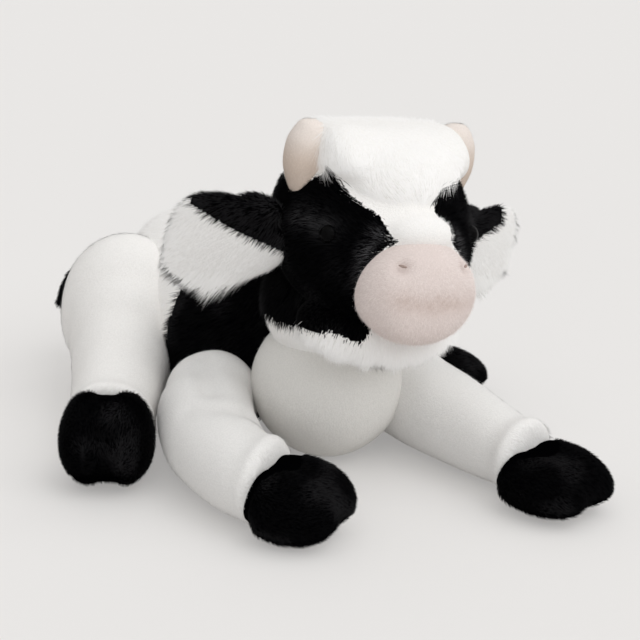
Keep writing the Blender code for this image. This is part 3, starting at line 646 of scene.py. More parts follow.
TRUNK_STATIONS = ((0.0, 0.0, 0.49, 0.49), (0.02, 0.36, 0.20, 0.78), (0.10, 0.73, 0.05, 0.92),
                  (0.27, 0.96, 0.0, 0.985), (0.52, 1.0, 0.0, 1.0), (0.76, 0.95, 0.0, 0.995),
                  (0.91, 0.70, 0.08, 0.92), (0.985, 0.34, 0.28, 0.76), (1.0, 0.0, 0.52, 0.52))
HEAD_STATIONS = ((0.0, 0.0, 0.36, 0.36), (0.02, 0.38, 0.20, 0.54), (0.11, 0.62, 0.10, 0.66),
                 (0.27, 0.84, 0.03, 0.86), (0.46, 0.97, 0.01, 0.98), (0.68, 0.99, 0.03, 1.0),
                 (0.87, 0.76, 0.15, 0.88), (0.98, 0.36, 0.32, 0.66), (1.0, 0.0, 0.49, 0.49))
MUZZLE_STATIONS = ((0.0, 0.0, 0.49, 0.49), (0.035, 0.50, 0.24, 0.74), (0.15, 0.82, 0.08, 0.92),
                   (0.42, 0.99, 0.0, 1.0), (0.78, 0.91, 0.04, 0.96), (0.98, 0.60, 0.2, 0.78),
                   (1.0, 0.0, 0.49, 0.49))
JAW_STATIONS = ((0.0, 0.0, 0.55, 0.55), (0.03, 0.36, 0.32, 0.78), (0.19, 0.75, 0.09, 0.93),
                (0.50, 0.99, 0.0, 1.0), (0.81, 0.79, 0.09, 0.93), (0.97, 0.38, 0.32, 0.78),
                (1.0, 0.0, 0.55, 0.55))
STILL = np.eye(3)
NOWHERE = np.zeros(3)

trunk_form = loft(TRUNK_STATIONS, (0.216, 0.150, 0.146), 0.098, -0.0005, NOWHERE, STILL, "trunk_body")
chest_form = ball((0.060, 0.060, 0.0585), np.array((0, -0.130, 0.058)), STILL, "trunk_body")
neck_form = ball((0.050, 0.050, 0.050), np.array((0, -0.130, 0.1235)), STILL, "neck_body")
head_form = loft(HEAD_STATIONS, (0.148, 0.150, 0.148), 0.084, -0.068, HEAD_AT, HEAD_TURN, "head_body")
muzzle_at = head_place(0, -0.074, -0.019)
muzzle_form = loft(MUZZLE_STATIONS, (0.074, 0.092, 0.080), 0.037, -0.040, muzzle_at, HEAD_TURN, "head_body")
jaw_at = head_place(0, -0.030, -0.060)
jaw_form = loft(JAW_STATIONS, (0.092, 0.126, 0.054), 0.046, -0.027, jaw_at, HEAD_TURN, "head_body")
puff_at = head_place(0.002, -0.068, 0.020)
puff_form = ball((0.028, 0.019, 0.017), puff_at, HEAD_TURN, "head_body")
brow_at = head_place(0, -0.034, 0.049)
brow_form = ball((0.045, 0.028, 0.030), brow_at, HEAD_TURN, "head_body")


def bolster(size, at, stations=((0.0, 0.0), (0.02, 0.55), (0.08, 0.90), (0.25, 1.0), (0.75, 1.0), (0.92, 0.90),
                                (0.98, 0.55), (1.0, 0.0))):
    """Ellipses across the head, from one horn to the other; a station is its place and its size as shares."""
    table = np.asarray(stations)
    share = through(table, 56, np.array((False, True)))
    width, length, height = size
    cos, sin = circle(64)
    x = np.repeat((share[:, :1] - 0.5) * width, 64, axis=1)
    y, z = np.outer(share[:, 1], cos) * length / 2, np.outer(share[:, 1], sin) * height / 2
    grid = np.stack([x, y, z], axis=2)

    def inside(points, depth):
        local = to_local(points, at, HEAD_TURN)
        radius = np.interp(local[:, 0] / width + 0.5, share[:, 0], share[:, 1], 0, 0)
        y, z = radius * length / 2 - depth, radius * height / 2 - depth
        ok = (y > 0) & (z > 0)
        return ok & ((local[:, 1] / np.where(ok, y, 1)) ** 2 + (local[:, 2] / np.where(ok, z, 1)) ** 2 < 1)

    return Form(to_world(grid, at, HEAD_TURN), inside, "head_body")


tuft_form = bolster((0.118, 0.082, 0.046), head_place(0, -0.006, 0.0625))

# Along a leg: the share of its way, how far it has tapered to the cuff, and how far the stuffing swells it
LEG_SHARES = np.array(((0.0, 0.0, 0.84), (0.22, 0.1, 1.0), (0.52, 0.4, 1.03), (0.82, 0.8, 1.0),
                       (1.0, 1.0, 1.02)))


def leg_forms(body, side, root, length, splay, curl, radius, cuff, toes, ball_radii, ball_z, heel, thigh=()):
    """A leg's ball, its tube up to the seam, and the two toes of its hoof with the heel between them.

    heel is the half width, length and height of the form between the toes, as shares of the hoof's. thigh fills
    the leg out behind its ball; a row is a share of the way and the half width and height there.

    The middle line is a cubic curve that leaves the root turned out by the curl and ends turned in by it.
    """
    root = np.asarray(root, float)
    toes = np.asarray(toes, float)
    rotation = turn("Z", side * splay)
    curl_at = math.radians(curl)
    reach = length / 3
    start, end = np.zeros(3), np.array((0, -length, 0))
    early = np.array((side * math.sin(curl_at) * reach, -math.cos(curl_at) * reach, 0))
    late = end + early * (1, -1, 1)
    seam = 1 - toes[1] * 0.46 / length
    hoof_z = toes[2] - GROUND - root[2]
    share = np.linspace(0, 1, 26)
    way = np.interp(share, LEG_SHARES[:, 0], LEG_SHARES[:, 1])
    swell = np.interp(share, LEG_SHARES[:, 0], LEG_SHARES[:, 2])
    radii = (radius + (cuff - radius) * way) * swell
    s = (share * seam)[:, None]
    line = start * (1 - s) ** 3 + early * 3 * (1 - s) ** 2 * s + late * 3 * (1 - s) * s ** 2 + end * s ** 3
    line[:, 2] = np.maximum(radii + 0.001 - root[2], hoof_z * way)
    rim = np.array((0.72, 0.42, 0.0))
    ahead = unit(line[-1] - line[-2])
    line = np.vstack([line[:1], line, line[-1] + ahead * np.array(((0.0025,), (0.004,), (0.0045,)))])
    radii = np.concatenate([[0], radii, radii[-1] * rim])
    leg = tube(to_world(line, root, rotation), radii, body)
    centre = to_world(end + np.array((0, 0, hoof_z)), root, rotation)
    facing = rotation @ turn("Z", -side * curl)
    toe = np.array((toes[0] * 0.62, toes[1], toes[2]))
    aside = facing @ np.array((toes[0] - toe[0], 0, 0))
    left, right = (ball(toe, centre + aside * way, facing, body) for way in (1, -1))
    between = ball(toes * heel, centre, facing, body)
    joint = ball(ball_radii, root + np.array((0, 0, ball_z)), rotation, body)
    world = to_world(line, root, rotation)
    forms = [joint, leg]
    for share, wide, tall in thigh:
        middle = world[int(share * 26)] * (1, 1, 0) + np.array((0, 0, tall / 2))
        forms.append(ball((wide, 0.046, tall / 2), middle, rotation, body))
    return {"leg": forms, "hoof": [left, right, between], "forward": facing @ np.array((0, -1, 0)),
            "line": world, "seam": world[-4], "hoof_at": centre, "toe": toes[1]}


HAUNCH = (0.056, 0.056, 0.0685)
FRONT_HEEL, HIND_HEEL = (0.78, 0.94, 0.95), (0.80, 0.93, 0.95)
THIGH = ((0.24, 0.047, 0.118), (0.44, 0.041, 0.096), (0.62, 0.037, 0.082))
FAR_THIGH = ((0.24, 0.042, 0.105), (0.44, 0.034, 0.078))
SHOULDER = (0.039, 0.039, 0.039)
LEGS = {
    "front_leg_right": leg_forms("front_leg_right_body", -1, (-0.072, -0.080, 0.045), 0.152, 9.5, 40, 0.040,
                                 0.033, (0.0355, 0.0425, 0.0285), SHOULDER, 0, FRONT_HEEL),
    "front_leg_left": leg_forms("front_leg_left_body", 1, (0.060, -0.095, 0.045), 0.201, 6.0, -4, 0.040,
                                0.029, (0.0375, 0.0460, 0.0225), SHOULDER, 0, FRONT_HEEL),
    "hind_leg_right": leg_forms("hind_leg_right_body", -1, (-0.069, 0.056, 0.048), 0.166, 34.5, 0, 0.0395,
                                0.034, (0.0360, 0.0390, 0.0350), HAUNCH, 0.0200, HIND_HEEL,
                                THIGH),
    "hind_leg_left": leg_forms("hind_leg_left_body", 1, (0.069, 0.056, 0.048), 0.164, 24.6, 0, 0.030,
                               0.0215, (0.0295, 0.0360, 0.0190), HAUNCH, 0.0200, HIND_HEEL,
                               FAR_THIGH),
}
ALL_FORMS += [trunk_form, chest_form, neck_form, head_form, muzzle_form, jaw_form, tuft_form]
for leg in LEGS.values():
    ALL_FORMS += leg["leg"] + leg["hoof"]


# The patches

def in_outline(x, y, outline):
    """True for the points inside an outline: a line to the right of each crosses it an odd number of times."""
    inside = np.zeros(len(x), bool)
    for (x0, y0), (x1, y1) in zip(outline, outline[1:] + outline[:1]):
        if y0 != y1:
            inside ^= ((y0 > y) != (y1 > y)) & (x < (x1 - x0) * (y - y0) / (y1 - y0) + x0)
    return inside


# Black on the face, in degrees round from the nose and up, seen from the middle of the head
FACE_LOW = [(-28, -18), (-22, -29), (-20, -34.5), (-25.5, -39.5), (-29, -39), (-37, -38.5), (-41, -38.4),
            (-46, -39.6), (-53, -41), (-61, -42), (-72, -47), (-90, -56), (-120, -62), (-181, -65)]
FACE_RIGHT = [(-14, 11.6), (-20.7, 8.5), (-27.6, -5.5)] + FACE_LOW + [
    (-181, 30), (-101, 28), (-82, 31), (-67, 43), (-53, 37.5), (-41, 31.4), (-24, 24), (-18, 15)]
FACE_LEFT = [(15, 13.6), (25, 7), (29, -5.5)] + [(-a, b + 9) for a, b in FACE_LOW] + [
    (181, 30), (101, 28), (82, 33), (60, 39), (40, 40), (26, 40), (16, 38), (15.5, 33), (11.5, 25), (15.5, 20)]


def face_pale(points):
    local = in_head(points)
    around = np.degrees(np.arctan2(local[:, 0], -local[:, 1]))
    up = np.degrees(np.arctan2(local[:, 2], np.hypot(local[:, 0], local[:, 1])))
    return 1.0 - (in_outline(around, up, FACE_RIGHT) | in_outline(around, up, FACE_LEFT))


def crown_pale(points):
    """The face's patches, and white over all the poll's top and back."""
    local = in_head(points)
    return np.maximum(face_pale(points), smoothstep(0.054, 0.058, local[:, 2]))


def all_black(points):
    return np.zeros(len(points))


def neck_pale(points):
    return (points[:, 2] < 0.1195).astype(float)


def trunk_pale(points):
    """Black over the shoulders, on the right side back to the haunch, and a black saddle on the left."""
    x, y, z = points.T
    ragged = wave_noise(points, 0.050, 71)
    to_right = smoothstep(0.036, -0.014, x)
    edge = -0.050 + to_right * (0.036 - 0.12 * (z - 0.072) + 0.5 * np.maximum(0.05 - z, 0))
    shoulders = y < edge + 0.005 * (1 - to_right) * ragged
    from_middle = ((x - 0.056) / 0.062) ** 2 + ((y - 0.036) / 0.056) ** 2 + ((z - 0.105) / 0.070) ** 2
    saddle = from_middle + 0.2 * ragged < 1
    return 1.0 - (shoulders | saddle)


# The trunk, the chest and the neck
def back_and_down(points):
    return np.stack([0.3 * np.sign(points[:, 0]), np.full(len(points), 0.8), -0.6 + 0 * points[:, 0]], axis=1)


def downward(points):
    return np.stack([points[:, 0] * 4, np.full(len(points), -0.1), -np.ones(len(points))], axis=1)


BOTH = {"white": WHITE_PILE, "black": BLACK_PILE}
trunk = form_skin("trunk_skin", [trunk_form])
dress(trunk, "trunk_body", PATCHED_SKIN, "short_pile_black", "trunk", pale=trunk_pale)
cover("trunk_pile", trunk, [trunk_form], "trunk_body", 60, 0.0085, 0.00055, back_and_down, BOTH,
      pale=trunk_pale)

chest = form_skin("chest_skin", [chest_form])
dress(chest, "trunk_body", CHEST_SKIN, "chest_white", "chest")
cover("chest_pile", chest, [chest_form], "trunk_body", 60, 0.0060, 0.00045, downward, {"white": CHEST_PILE})

neck = form_skin("neck_skin", [neck_form])
dress(neck, "neck_body", PATCHED_SKIN, "neck_black", "neck", pale=neck_pale)
cover("neck_pile", neck, [neck_form], "neck_body", 80, 0.0080, 0.0006, downward, BOTH, pale=neck_pale)


# The head and what it carries
def from_nose(points):
    """The pile of the face lies away from the nose, over the brow and round the cheeks."""
    nose = head_place(0, -0.095, 0.012)
    way = unit(points - nose)
    way[:, 2] -= 0.25
    return way


EYES = [points_of(frame["nodes"]["eye_" + side].data).mean(axis=0) for side in ("right", "left")]


def head_length(points):
    """Longer pile where the blaze runs up into the poll, on the puff over the muzzle and round the eyes."""
    local = in_head(points)
    middle = smoothstep(0.050, 0.036, np.abs(local[:, 0]))
    poll = smoothstep(0.026, 0.056, local[:, 2]) * middle * (local[:, 1] < 0)
    puff = np.exp(-(np.linalg.norm((local - (0.002, -0.080, 0.020)) * (0.8, 1, 1.2), axis=1) / 0.020) ** 2)
    near = np.min([np.linalg.norm(points - eye, axis=1) for eye in EYES], axis=0)
    low = smoothstep(-0.020, -0.036, local[:, 2])
    return 0.0050 - 0.0018 * low + 0.0045 * poll + 0.0028 * puff + 0.0075 * np.exp(-(near / 0.011) ** 2)


head = form_skin("head_skin", [head_form, puff_form, brow_form], 0.0025, 14)
dress(head, "head_body", PATCHED_SKIN, "head_black", "head", pale=face_pale)


def over_jaw(points):
    """The white pile of the head stops where the jaw covers it."""
    return (face_pale(points) < 0.5) | (in_head(points)[:, 2] > -0.020)


# Where the black face catches the light, on the head's right side: over the eye, and down beside the muzzle
BROW_LIGHT = ((-0.068, -0.0192, 0.0185), (-0.061, -0.0369, 0.0182), (-0.0567, -0.0445, 0.0169))
CHEEK_LIGHT = ((-0.030, -0.0655, 0.0186), (-0.035, -0.0667, 0.0117), (-0.0385, -0.0685, 0.003),
               (-0.0424, -0.075, -0.0123))


def face_gleam(points):
    """The light on the black face, the same on both sides, uneven along its lines."""
    local = in_head(points)
    local[:, 0] = -np.abs(local[:, 0])
    uneven = 0.75 + 0.35 * wave_noise(points, 0.014, 63)
    lines = groove(local, BROW_LIGHT, 0.40, 0.0085) + groove(local, CHEEK_LIGHT, 0.95, 0.0055)
    return np.clip(lines * uneven + 0.6 * any_gleam(points), 0, 1)


cover("head_pile", head, [head_form, puff_form, brow_form], "head_body", 100, head_length, 0.00045, from_nose,
      BOTH, pale=face_pale, keep=over_jaw, gleam=face_gleam)


NOSTRIL = np.array((0.0249, -0.0965, 0.0062))


def mouth(local):
    """How near a point is to the mouth's line, which rises a little to each side: 1 on it, 0 away from it."""
    lip = -0.0185 + 0.9 * local[:, 0] ** 2
    line = np.exp(-((local[:, 2] - lip) / 0.0075) ** 2) * (local[:, 1] < -0.06)
    return line * smoothstep(0.044, 0.020, np.abs(local[:, 0]))


def nostril(local, size):
    near = [np.linalg.norm((local - NOSTRIL * (side, 1, 1)) * (1, 0.8, 1.3), axis=1) for side in (-1, 1)]
    return np.exp(-(np.minimum(*near) / size) ** 2)


def muzzle_shape(points, normals):
    """Draws the nostrils and the mouth's soft crease into the muzzle."""
    local = in_head(points)
    return points - normals * (0.0036 * nostril(local, 0.0065) + 0.0006 * mouth(local))[:, None]


# Painted shade: darker along the mouth's crease, in the nostrils' dimples and towards the muzzle's bottom,
# mottled along the mouth
def muzzle_painted_shade(points):
    local = in_head(points)
    under = smoothstep(-0.024, -0.050, local[:, 2]) * 0.10
    cloud = 0.5 + 0.5 * wave_noise(points, 0.018, 7)
    fleck = 0.5 + 0.5 * wave_noise(points, 0.0045, 9)
    line = 0.42 * mouth(local) * (0.6 + 0.5 * cloud) * (0.6 + 0.8 * fleck)
    return np.clip(line + 0.50 * nostril(local, 0.0040) + under, 0, 0.8)


muzzle = form_skin("muzzle_skin", [muzzle_form], 0.002, 5, 0.0026, muzzle_shape)
dress(muzzle, "head_body", CREAM_SKIN, "muzzle_cream", "muzzle", painted_shading=muzzle_painted_shade)
cover("muzzle_nap", muzzle, [muzzle_form], "head_body", 170, 0.0040, 0.00040, from_nose, {"white": CREAM_PILE},
      lean=(2.2, 2.2), wild=0.20, painted_shading=muzzle_painted_shade)


def jaw_length(points):
    """Short black pile, and white pile that hangs in tufts."""
    tufts = 0.5 + 0.5 * wave_noise(points * (1, 1, 0.2), 0.020, 31)
    return 0.0034 + face_pale(points) * (0.0046 + 0.0045 * tufts)


jaw = form_skin("jaw_skin", [jaw_form])
dress(jaw, "head_body", PATCHED_SKIN, "ruff_white", "jaw", pale=face_pale)
cover("jaw_pile", jaw, [jaw_form], "head_body", 80, jaw_length, 0.0005, downward, BOTH, pale=face_pale, bend=True,
      lean=(2.4, 2.0), droop=0.10)

tuft = form_skin("poll_skin", [tuft_form, brow_form], 0.0025, 10, 0.0014)
dress(tuft, "head_body", PATCHED_SKIN, "tuft_white", "poll_tuft", pale=crown_pale)


def from_crown(points):
    """The tuft's pile falls forward over the brow, and to the back behind the crown."""
    local = in_head(points)
    behind = smoothstep(-0.016, -0.004, local[:, 1])
    way = np.stack([local[:, 0] * 9, 2 * behind - 1, -0.35 + 0 * behind], axis=1)
    return way @ HEAD_TURN.T


def between_horns(points):
    local = in_head(points)
    return (local[:, 0] > -0.060) & (local[:, 0] < 0.041)


def poll_length(points):
    """Longer where the tuft falls over the right horn's foot."""
    local = in_head(points)
    return 0.0095 + 0.0050 * smoothstep(-0.036, -0.048, local[:, 0])


cover("poll_pile", tuft, [tuft_form, brow_form], "head_body", 80, poll_length, 0.0005, from_crown, BOTH,
      pale=crown_pale, bend=True, droop=0.08, lean=(4.5, 2.5), wild=0.10, keep=between_horns)


def horn(name, side):
    """A stuffed horn that bows outward by half a sine wave, and a foot that runs in under the poll."""
    share = np.linspace(0, 1, 24)
    bow = side * 0.13 * 0.048 * np.sin(share * math.pi)
    line = np.stack([side * 0.056 + bow, 0 * share, 0.034 + share * 0.048], axis=1)
    radii = 0.0145 * np.interp(share, (0, 0.35, 0.68, 0.9, 1.0), (0.92, 1.04, 1.0, 0.80, 0.50))
    line = np.vstack([line[:1], line, line[-1:] + (0, 0, 0.0020)])
    radii = np.concatenate([[0], radii, [0]])
    ahead = unit(np.gradient(line, axis=0))
    across = unit(np.cross(ahead, np.array((0, 1, 0))))
    depth = np.cross(across, ahead)
    cos, sin = circle(40)
    grid = (line[:, None] + across[:, None] * (radii[:, None] * cos)[..., None]
            + depth[:, None] * (radii[:, None] * sin)[..., None])
    form = Form(to_world(grid, HEAD_AT, HEAD_TURN), None, "head_body")
    foot = ball((0.017, 0.012, 0.009), head_place(side * 0.046, -0.004, 0.041), HEAD_TURN, "head_body")

    # Painted light: the horn lighter towards its top, where the light falls; its foot keeps the darker colour
    # under the tuft
    def painted_shading(points):
        local = in_head(points)
        return smoothstep(0.050, 0.078, local[:, 2]) * 0.7

    skin = form_skin(name + "_skin", [form, foot], 0.0015, 8, 0.0008)
    dress(skin, "head_body", HORN_SKIN, "horn_cream", name, painted_shading=painted_shading)
    cover(name + "_nap", skin, [form], "head_body", 160, 0.0034, 0.00042,
          lambda points: np.tile(HEAD_TURN @ np.array((0, 0, 1.0)), (len(points), 1)), {"white": HORN_PILE},
          lean=(2.4, 2.4), wild=0.20, painted_shading=painted_shading)


horn("horn_right", -1)
horn("horn_left", 1)


# The ears
EAR_STATIONS = np.array(((-0.10, 0.0, 0.0), (-0.06, 0.34, 0.55), (0.14, 0.72, 0.84), (0.34, 0.95, 1.0),
                         (0.62, 1.06, 0.96), (0.86, 0.92, 0.80), (0.97, 0.60, 0.52), (1.0, 0.0, 0.0)))
EAR_LENGTH, EAR_THICKNESS = 0.081, 0.022


def ear(side_name, side, width, sweep, lift, roll, seam_tip, seam_root, crest, black_end):
    """A leaf on its root, cupped towards its white side; the black back folds over its upper edge.

    The colours part along a line that runs from seam_root beside the head to seam_tip at the ear's end, each
    the height above the leaf's middle. crest is the place of the fold that stands up beside the head, and
    black_end the share of the length where the black stops.
    """
    body = "ear_" + side_name + "_body"
    at = np.array(JOINTS["ear_" + side_name + "_flap"]["pos_m"])
    rotation = HEAD_TURN @ turn("Z", side * sweep) @ turn("Y", -side * lift) @ turn("X", -roll)
    line = through(EAR_STATIONS, 60, np.array((False, True, True)))
    half = line[:, 1] * width / 2
    thick = line[:, 2] * EAR_THICKNESS / 2
    cos, sin = circle(56)
    x = np.repeat(side * line[:, :1] * EAR_LENGTH, 56, axis=1)
    y = np.outer(half, cos)
    z = np.outer(thick, sin) - 0.004 * (y / 0.038) ** 2
    form = Form(to_world(np.stack([x, y, z], axis=2), at, rotation), None, body)
    fold_at = to_world(np.array((side * crest[0], -crest[1], 0.001)), at, rotation)
    fold = ball((0.021, 0.0135, 0.0075), fold_at, rotation, body)
    skin = form_skin("ear_" + side_name + "_skin", [form, fold], 0.002, 8, 0.0018)

    def pale(points):
        local = to_local(points, at, rotation)
        out = side * local[:, 0] / EAR_LENGTH
        seam = -(seam_root + (seam_tip - seam_root) * out)
        front = local[:, 2] < 0.001 - 0.004 * (local[:, 1] / 0.038) ** 2
        rim = np.hypot(local[:, 1] / (width * 0.5), np.maximum(out - 0.45, 0) / 0.55)
        turned_up = (rim > 0.76) & (local[:, 1] > -0.05 * width)
        white_tip = out > black_end
        return (((local[:, 1] > seam) & front) | turned_up | white_tip).astype(float)

    def outward(points):
        local = to_local(points, at, rotation)
        way = np.stack([side * (0.8 + 0 * local[:, 0]), 0.5 + local[:, 1] * 14, local[:, 2] * 10], axis=1)
        return way @ rotation.T

    def length(points):
        """A fringe along the lower edge, longest near the head, and short pile elsewhere."""
        local = to_local(points, at, rotation)
        out = side * local[:, 0] / EAR_LENGTH
        low = smoothstep(width * 0.22, width * 0.46, local[:, 1])
        tuft = np.exp(-((out - 0.30) / 0.22) ** 2)
        tip = smoothstep(0.70, 0.98, out)
        return 0.0066 + (0.0035 + 0.0120 * tuft) * low + 0.0040 * tip * pale(points)

    dress(skin, body, LINING_AND_SHADE_SKIN, "ear_black", "ear_" + side_name, "ear_lining_" + side_name, pale=pale)
    cover("ear_" + side_name + "_pile", skin, [form], body, 105, length, 0.00040, outward,
          {"white": LINING_AND_SHADE_PILE, "black": BLACK_PILE}, pale=pale,
          bend=True, lean=(4.0, 1.8), droop=0.12, gleam=lambda points: 0.10 + any_gleam(points))


ear("right", -1, 0.076, 13, 8, 74, 0.028, 0.004, (0.024, 0.029), 0.90)
ear("left", 1, 0.064, 25, -2, 88, 0.030, 0.004, (0.010, 0.022), 0.62)


# The legs and hooves

# The creases of the right shoulder: one over its top, and one across the elbow
SHOULDER_CREASE = ((-0.078, -0.070, 0.084), (-0.090, -0.098, 0.081), (-0.100, -0.126, 0.077))
ELBOW_CREASE = ((-0.122, -0.136, 0.068), (-0.112, -0.150, 0.0735), (-0.098, -0.158, 0.070),
                (-0.086, -0.160, 0.064))


def arm_creases(points):
    return groove(points, SHOULDER_CREASE, 0.0060, 0.011) + groove(points, ELBOW_CREASE, 0.0040, 0.0095)


def leg(name, creases=None):
    made = LEGS[name]
    body = name + "_body"
    hoof_name = name.replace("leg", "hoof")
    line, forward = made["line"], made["forward"]

    def towards_hoof(points):
        near = np.argmin(((points[:, None] - line[None, ::3]) ** 2).sum(axis=2), axis=1)
        way = unit(np.gradient(line[::3], axis=0))[near]
        return way + np.array((0, 0, -0.35))

    def puffy_rim(points, normals):
        """The pile swells round the seam beside the hoof, with a shallow dip behind the swelling."""
        ahead = (points - made["seam"]) @ forward
        rim = 0.0030 * np.exp(-((ahead + 0.003) / 0.0065) ** 2)
        swell = rim - 0.0006 * np.exp(-((ahead + 0.018) / 0.007) ** 2)
        if creases:
            swell -= creases(points)
        return points + normals * swell[:, None]

    def tucked(points, normals):
        """Behind the seam the hoof is drawn in, so that the leg closes round it."""
        behind = smoothstep(-0.32, -0.62, (points - made["hoof_at"]) @ forward / made["toe"])
        return points - normals * 0.0045 * behind[:, None]

    def ahead_of_seam(points):
        return (points - made["hoof_at"]) @ forward / made["toe"] > -0.50

    skin = form_skin(name + "_skin", made["leg"], 0.003, 36, shape=puffy_rim)
    front = name.startswith("front")
    # The front legs take the greyer white as painted shade; the hind legs keep the plain white
    dress(skin, body, LINING_AND_SHADE_SKIN if front else PATCHED_SKIN, "leg_white", name)
    cover(name + "_pile", skin, made["leg"], body, 50, 0.0070, 0.0005, towards_hoof,
          {"white": LINING_AND_SHADE_PILE if front else WHITE_PILE})
    hoof = form_skin(hoof_name + "_skin", made["hoof"], 0.002, 5, 0.0016, tucked)
    dress(hoof, body, PATCHED_SKIN, "hoof_black", hoof_name, pale=all_black)
    cover(hoof_name + "_pile", hoof, made["hoof"], body, 150, 0.0048, 0.0005,
          lambda points: np.tile(forward, (len(points), 1)), {"black": BLACK_PILE},
          pale=all_black, keep=ahead_of_seam)


for leg_name in LEGS:
    leg(leg_name, arm_creases if leg_name == "front_leg_right" else None)


# The tail
TAIL_AT = np.array(JOINTS["tail_swing"]["pos_m"])


def tail_route(share):
    """Out behind the rump, then round to the right and down."""
    return np.stack([-0.090 * share ** 0.9, 0.017 * np.sin(share * math.pi / 2), -0.044 * share ** 2], axis=1)


def tail_piece(start, end, radii):
    share = np.linspace(start, end, 26)
    line = tail_route(share)
    size = np.interp(np.linspace(0, 1, 26), np.linspace(0, 1, len(radii)), radii)
    line = np.vstack([line[:1], line, line[-1:]])
    size = np.concatenate([[0], size, [0]])
    line[0] += (line[1] - line[2]) * 0.3
    line[-1] += (line[-2] - line[-3]) * 0.3
    return tube(line + TAIL_AT, size, "tail_body")


tail_form = tail_piece(0.0, 0.56, (0.0095, 0.0085, 0.0085))
tail_tuft_form = tail_piece(0.56, 1.0, (0.0085, 0.0125, 0.0130, 0.0105, 0.006))


def along_tail(points):
    return np.tile((-0.8, 0.1, -0.6), (len(points), 1))


tail = form_skin("tail_skin", [tail_form], 0.0015, 4)
dress(tail, "tail_body", PATCHED_SKIN, "tail_white", "tail")
cover("tail_pile", tail, [tail_form], "tail_body", 90, 0.0070, 0.0006, along_tail, {"white": WHITE_PILE})
brush = form_skin("tail_tuft_skin", [tail_tuft_form], 0.0015, 4)
dress(brush, "tail_body", PATCHED_SKIN, "tail_black", "tail_tuft", pale=all_black)
cover("tail_tuft_pile", brush, [tail_tuft_form], "tail_body", 130, 0.0075, 0.0006, along_tail,
      {"black": BLACK_PILE}, pale=all_black, bend=True, droop=0.1)


# The eyes, their washers and the stitches keep the frame's solids
def eye_finish():
    made = Finish("eye_plastic", 0.3, Specular_IOR_Level=0.03, Coat_Weight=0.01, Coat_Roughness=0.1)
    haze = made.noise(160.0, 2.0)
    made.bump(haze, 0.00004, 0.2)
    return made.colour(made.mix(haze.between(0.3, 0.8), (0.0008, 0.0008, 0.0010), (0.0016, 0.0015, 0.0015)))


def washer_finish():
    made = Finish("washer_plastic", 0.5)
    grain = made.noise(700.0, 2.0)
    made.bump(grain, 0.00008, 0.4)
    return made.colour(made.mix(grain, (0.30, 0.30, 0.30), (0.40, 0.40, 0.40)))


def thread_finish():
    made = Finish("stitch_thread", 0.8)
    twist = made.noise(1600.0, 1.0)
    made.bump(twist, 0.0002, 0.8)
    return made.colour(made.mix(twist, (0.26, 0.19, 0.16), (0.44, 0.34, 0.30)))


EYE, WASHER, THREAD = eye_finish(), washer_finish(), thread_finish()
for node, finish in (("eye", EYE), ("eye_washer", WASHER), ("nostril_stitch", THREAD)):
    for side_name in ("right", "left"):
        obj = frame["nodes"][node + "_" + side_name]
        obj.data.materials.clear()
        obj.data.materials.append(finish)

# Floor, light and camera
FLOOR_HALF = 6.0
floor_mesh = raw_mesh("floor", np.array(((-1, -1, 0), (1, -1, 0), (1, 1, 0), (-1, 1, 0))) * FLOOR_HALF,
                      np.arange(4), np.array((4,)))
floor = make_object("floor", floor_mesh)
floor_finish = Finish("floor_paper", 0.95, Specular_IOR_Level=0.0)
floor_finish.colour((0.775, 0.762, 0.751))
BACKDROP = (0.839, 0.823, 0.807)
FLOOR_SHARE = 0.36


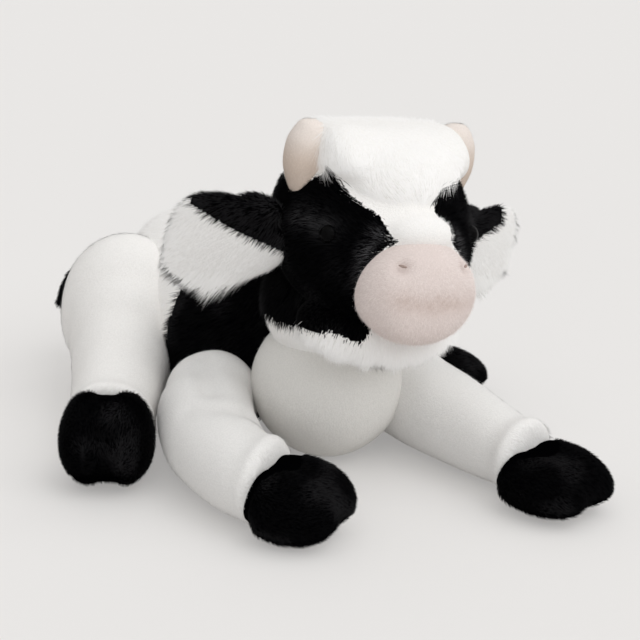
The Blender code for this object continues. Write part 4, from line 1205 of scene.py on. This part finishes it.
def show_backdrop(tree, shader, share):
    """Mix the plain backdrop colour over a shader for the camera and for reflections, so far as share says."""
    rays = tree.make("ShaderNodeLightPath", {}, {}).outputs
    camera_ray, glossy_ray, clear_ray = (Number(tree, rays["Is " + kind + " Ray"])
                                         for kind in ("Camera", "Glossy", "Transmission"))
    seen = tree.node("ShaderNodeMath", {"operation": "MAXIMUM"}, {0: camera_ray, 1: glossy_ray})[0]
    seen = tree.node("ShaderNodeMath", {"operation": "MAXIMUM"}, {0: seen, 1: clear_ray})[0]
    kind = "Background" if shader.bl_idname == "ShaderNodeBackground" else "Emission"
    glow = tree.node("ShaderNode" + kind, {}, {"Color": BACKDROP, "Strength": 1.0})[0]
    both = tree.node("ShaderNodeMixShader", {},
                     {"Fac": seen * share, 1: Number(tree, shader.outputs[0]), 2: glow})[0]
    out = next(node for node in tree.nodes if node.bl_idname.startswith("ShaderNodeOutput"))
    tree.links.new(both.socket, out.inputs["Surface"])


show_backdrop(floor_finish, floor_finish.shader, FLOOR_SHARE)
floor_mesh.materials.append(floor_finish.material)

world = bpy.data.worlds.new("studio")
bpy.context.scene.world = world
world.use_nodes = True
sky = world.node_tree.nodes["Background"]
sky.inputs["Color"].default_value = (1.0, 0.995, 0.985, 1.0)
sky.inputs["Strength"].default_value = 0.44
show_backdrop(Tree(world.node_tree), sky, 1.0)


def sun(name, toward, strength, angle):
    """A broad soft light from a direction, given as a vector from the toy to the light."""
    data = bpy.data.lights.new(name, "SUN")
    data.energy = strength
    data.angle = math.radians(angle)
    light = bpy.data.objects.new(name, data)
    bpy.context.scene.collection.objects.link(light)
    light.rotation_euler = Vector(toward).to_track_quat("Z", "Y").to_euler()
    return light


CAMERA_AZIMUTH, CAMERA_HEIGHT, CAMERA_DISTANCE = math.radians(-34), math.radians(22), 1.6
TARGET = np.array((0.049, -0.0478, 0.0697))
BACK = np.array((math.sin(CAMERA_AZIMUTH) * math.cos(CAMERA_HEIGHT),
                 -math.cos(CAMERA_AZIMUTH) * math.cos(CAMERA_HEIGHT), math.sin(CAMERA_HEIGHT)))
RIGHT = np.array((math.cos(CAMERA_AZIMUTH), math.sin(CAMERA_AZIMUTH), 0))
sun("key", 0.8 * RIGHT + 0.8 * UP + 0.3 * BACK, 1.24, 60)
sun("top", UP + 0.3 * BACK, 0.58, 60)
sun("back", UP - 0.6 * BACK, 0.30, 60)
sun("fill", BACK, 0.42, 60)

camera_data = bpy.data.cameras.new("camera")
camera_data.lens = 112.5
camera_data.sensor_width = 36.0
camera = bpy.data.objects.new("camera", camera_data)
bpy.context.scene.collection.objects.link(camera)
camera.location = TARGET + BACK * CAMERA_DISTANCE
camera.rotation_euler = Vector(BACK).to_track_quat("Z", "Y").to_euler()
bpy.context.scene.camera = camera
bpy.context.scene.view_settings.view_transform = "Standard"
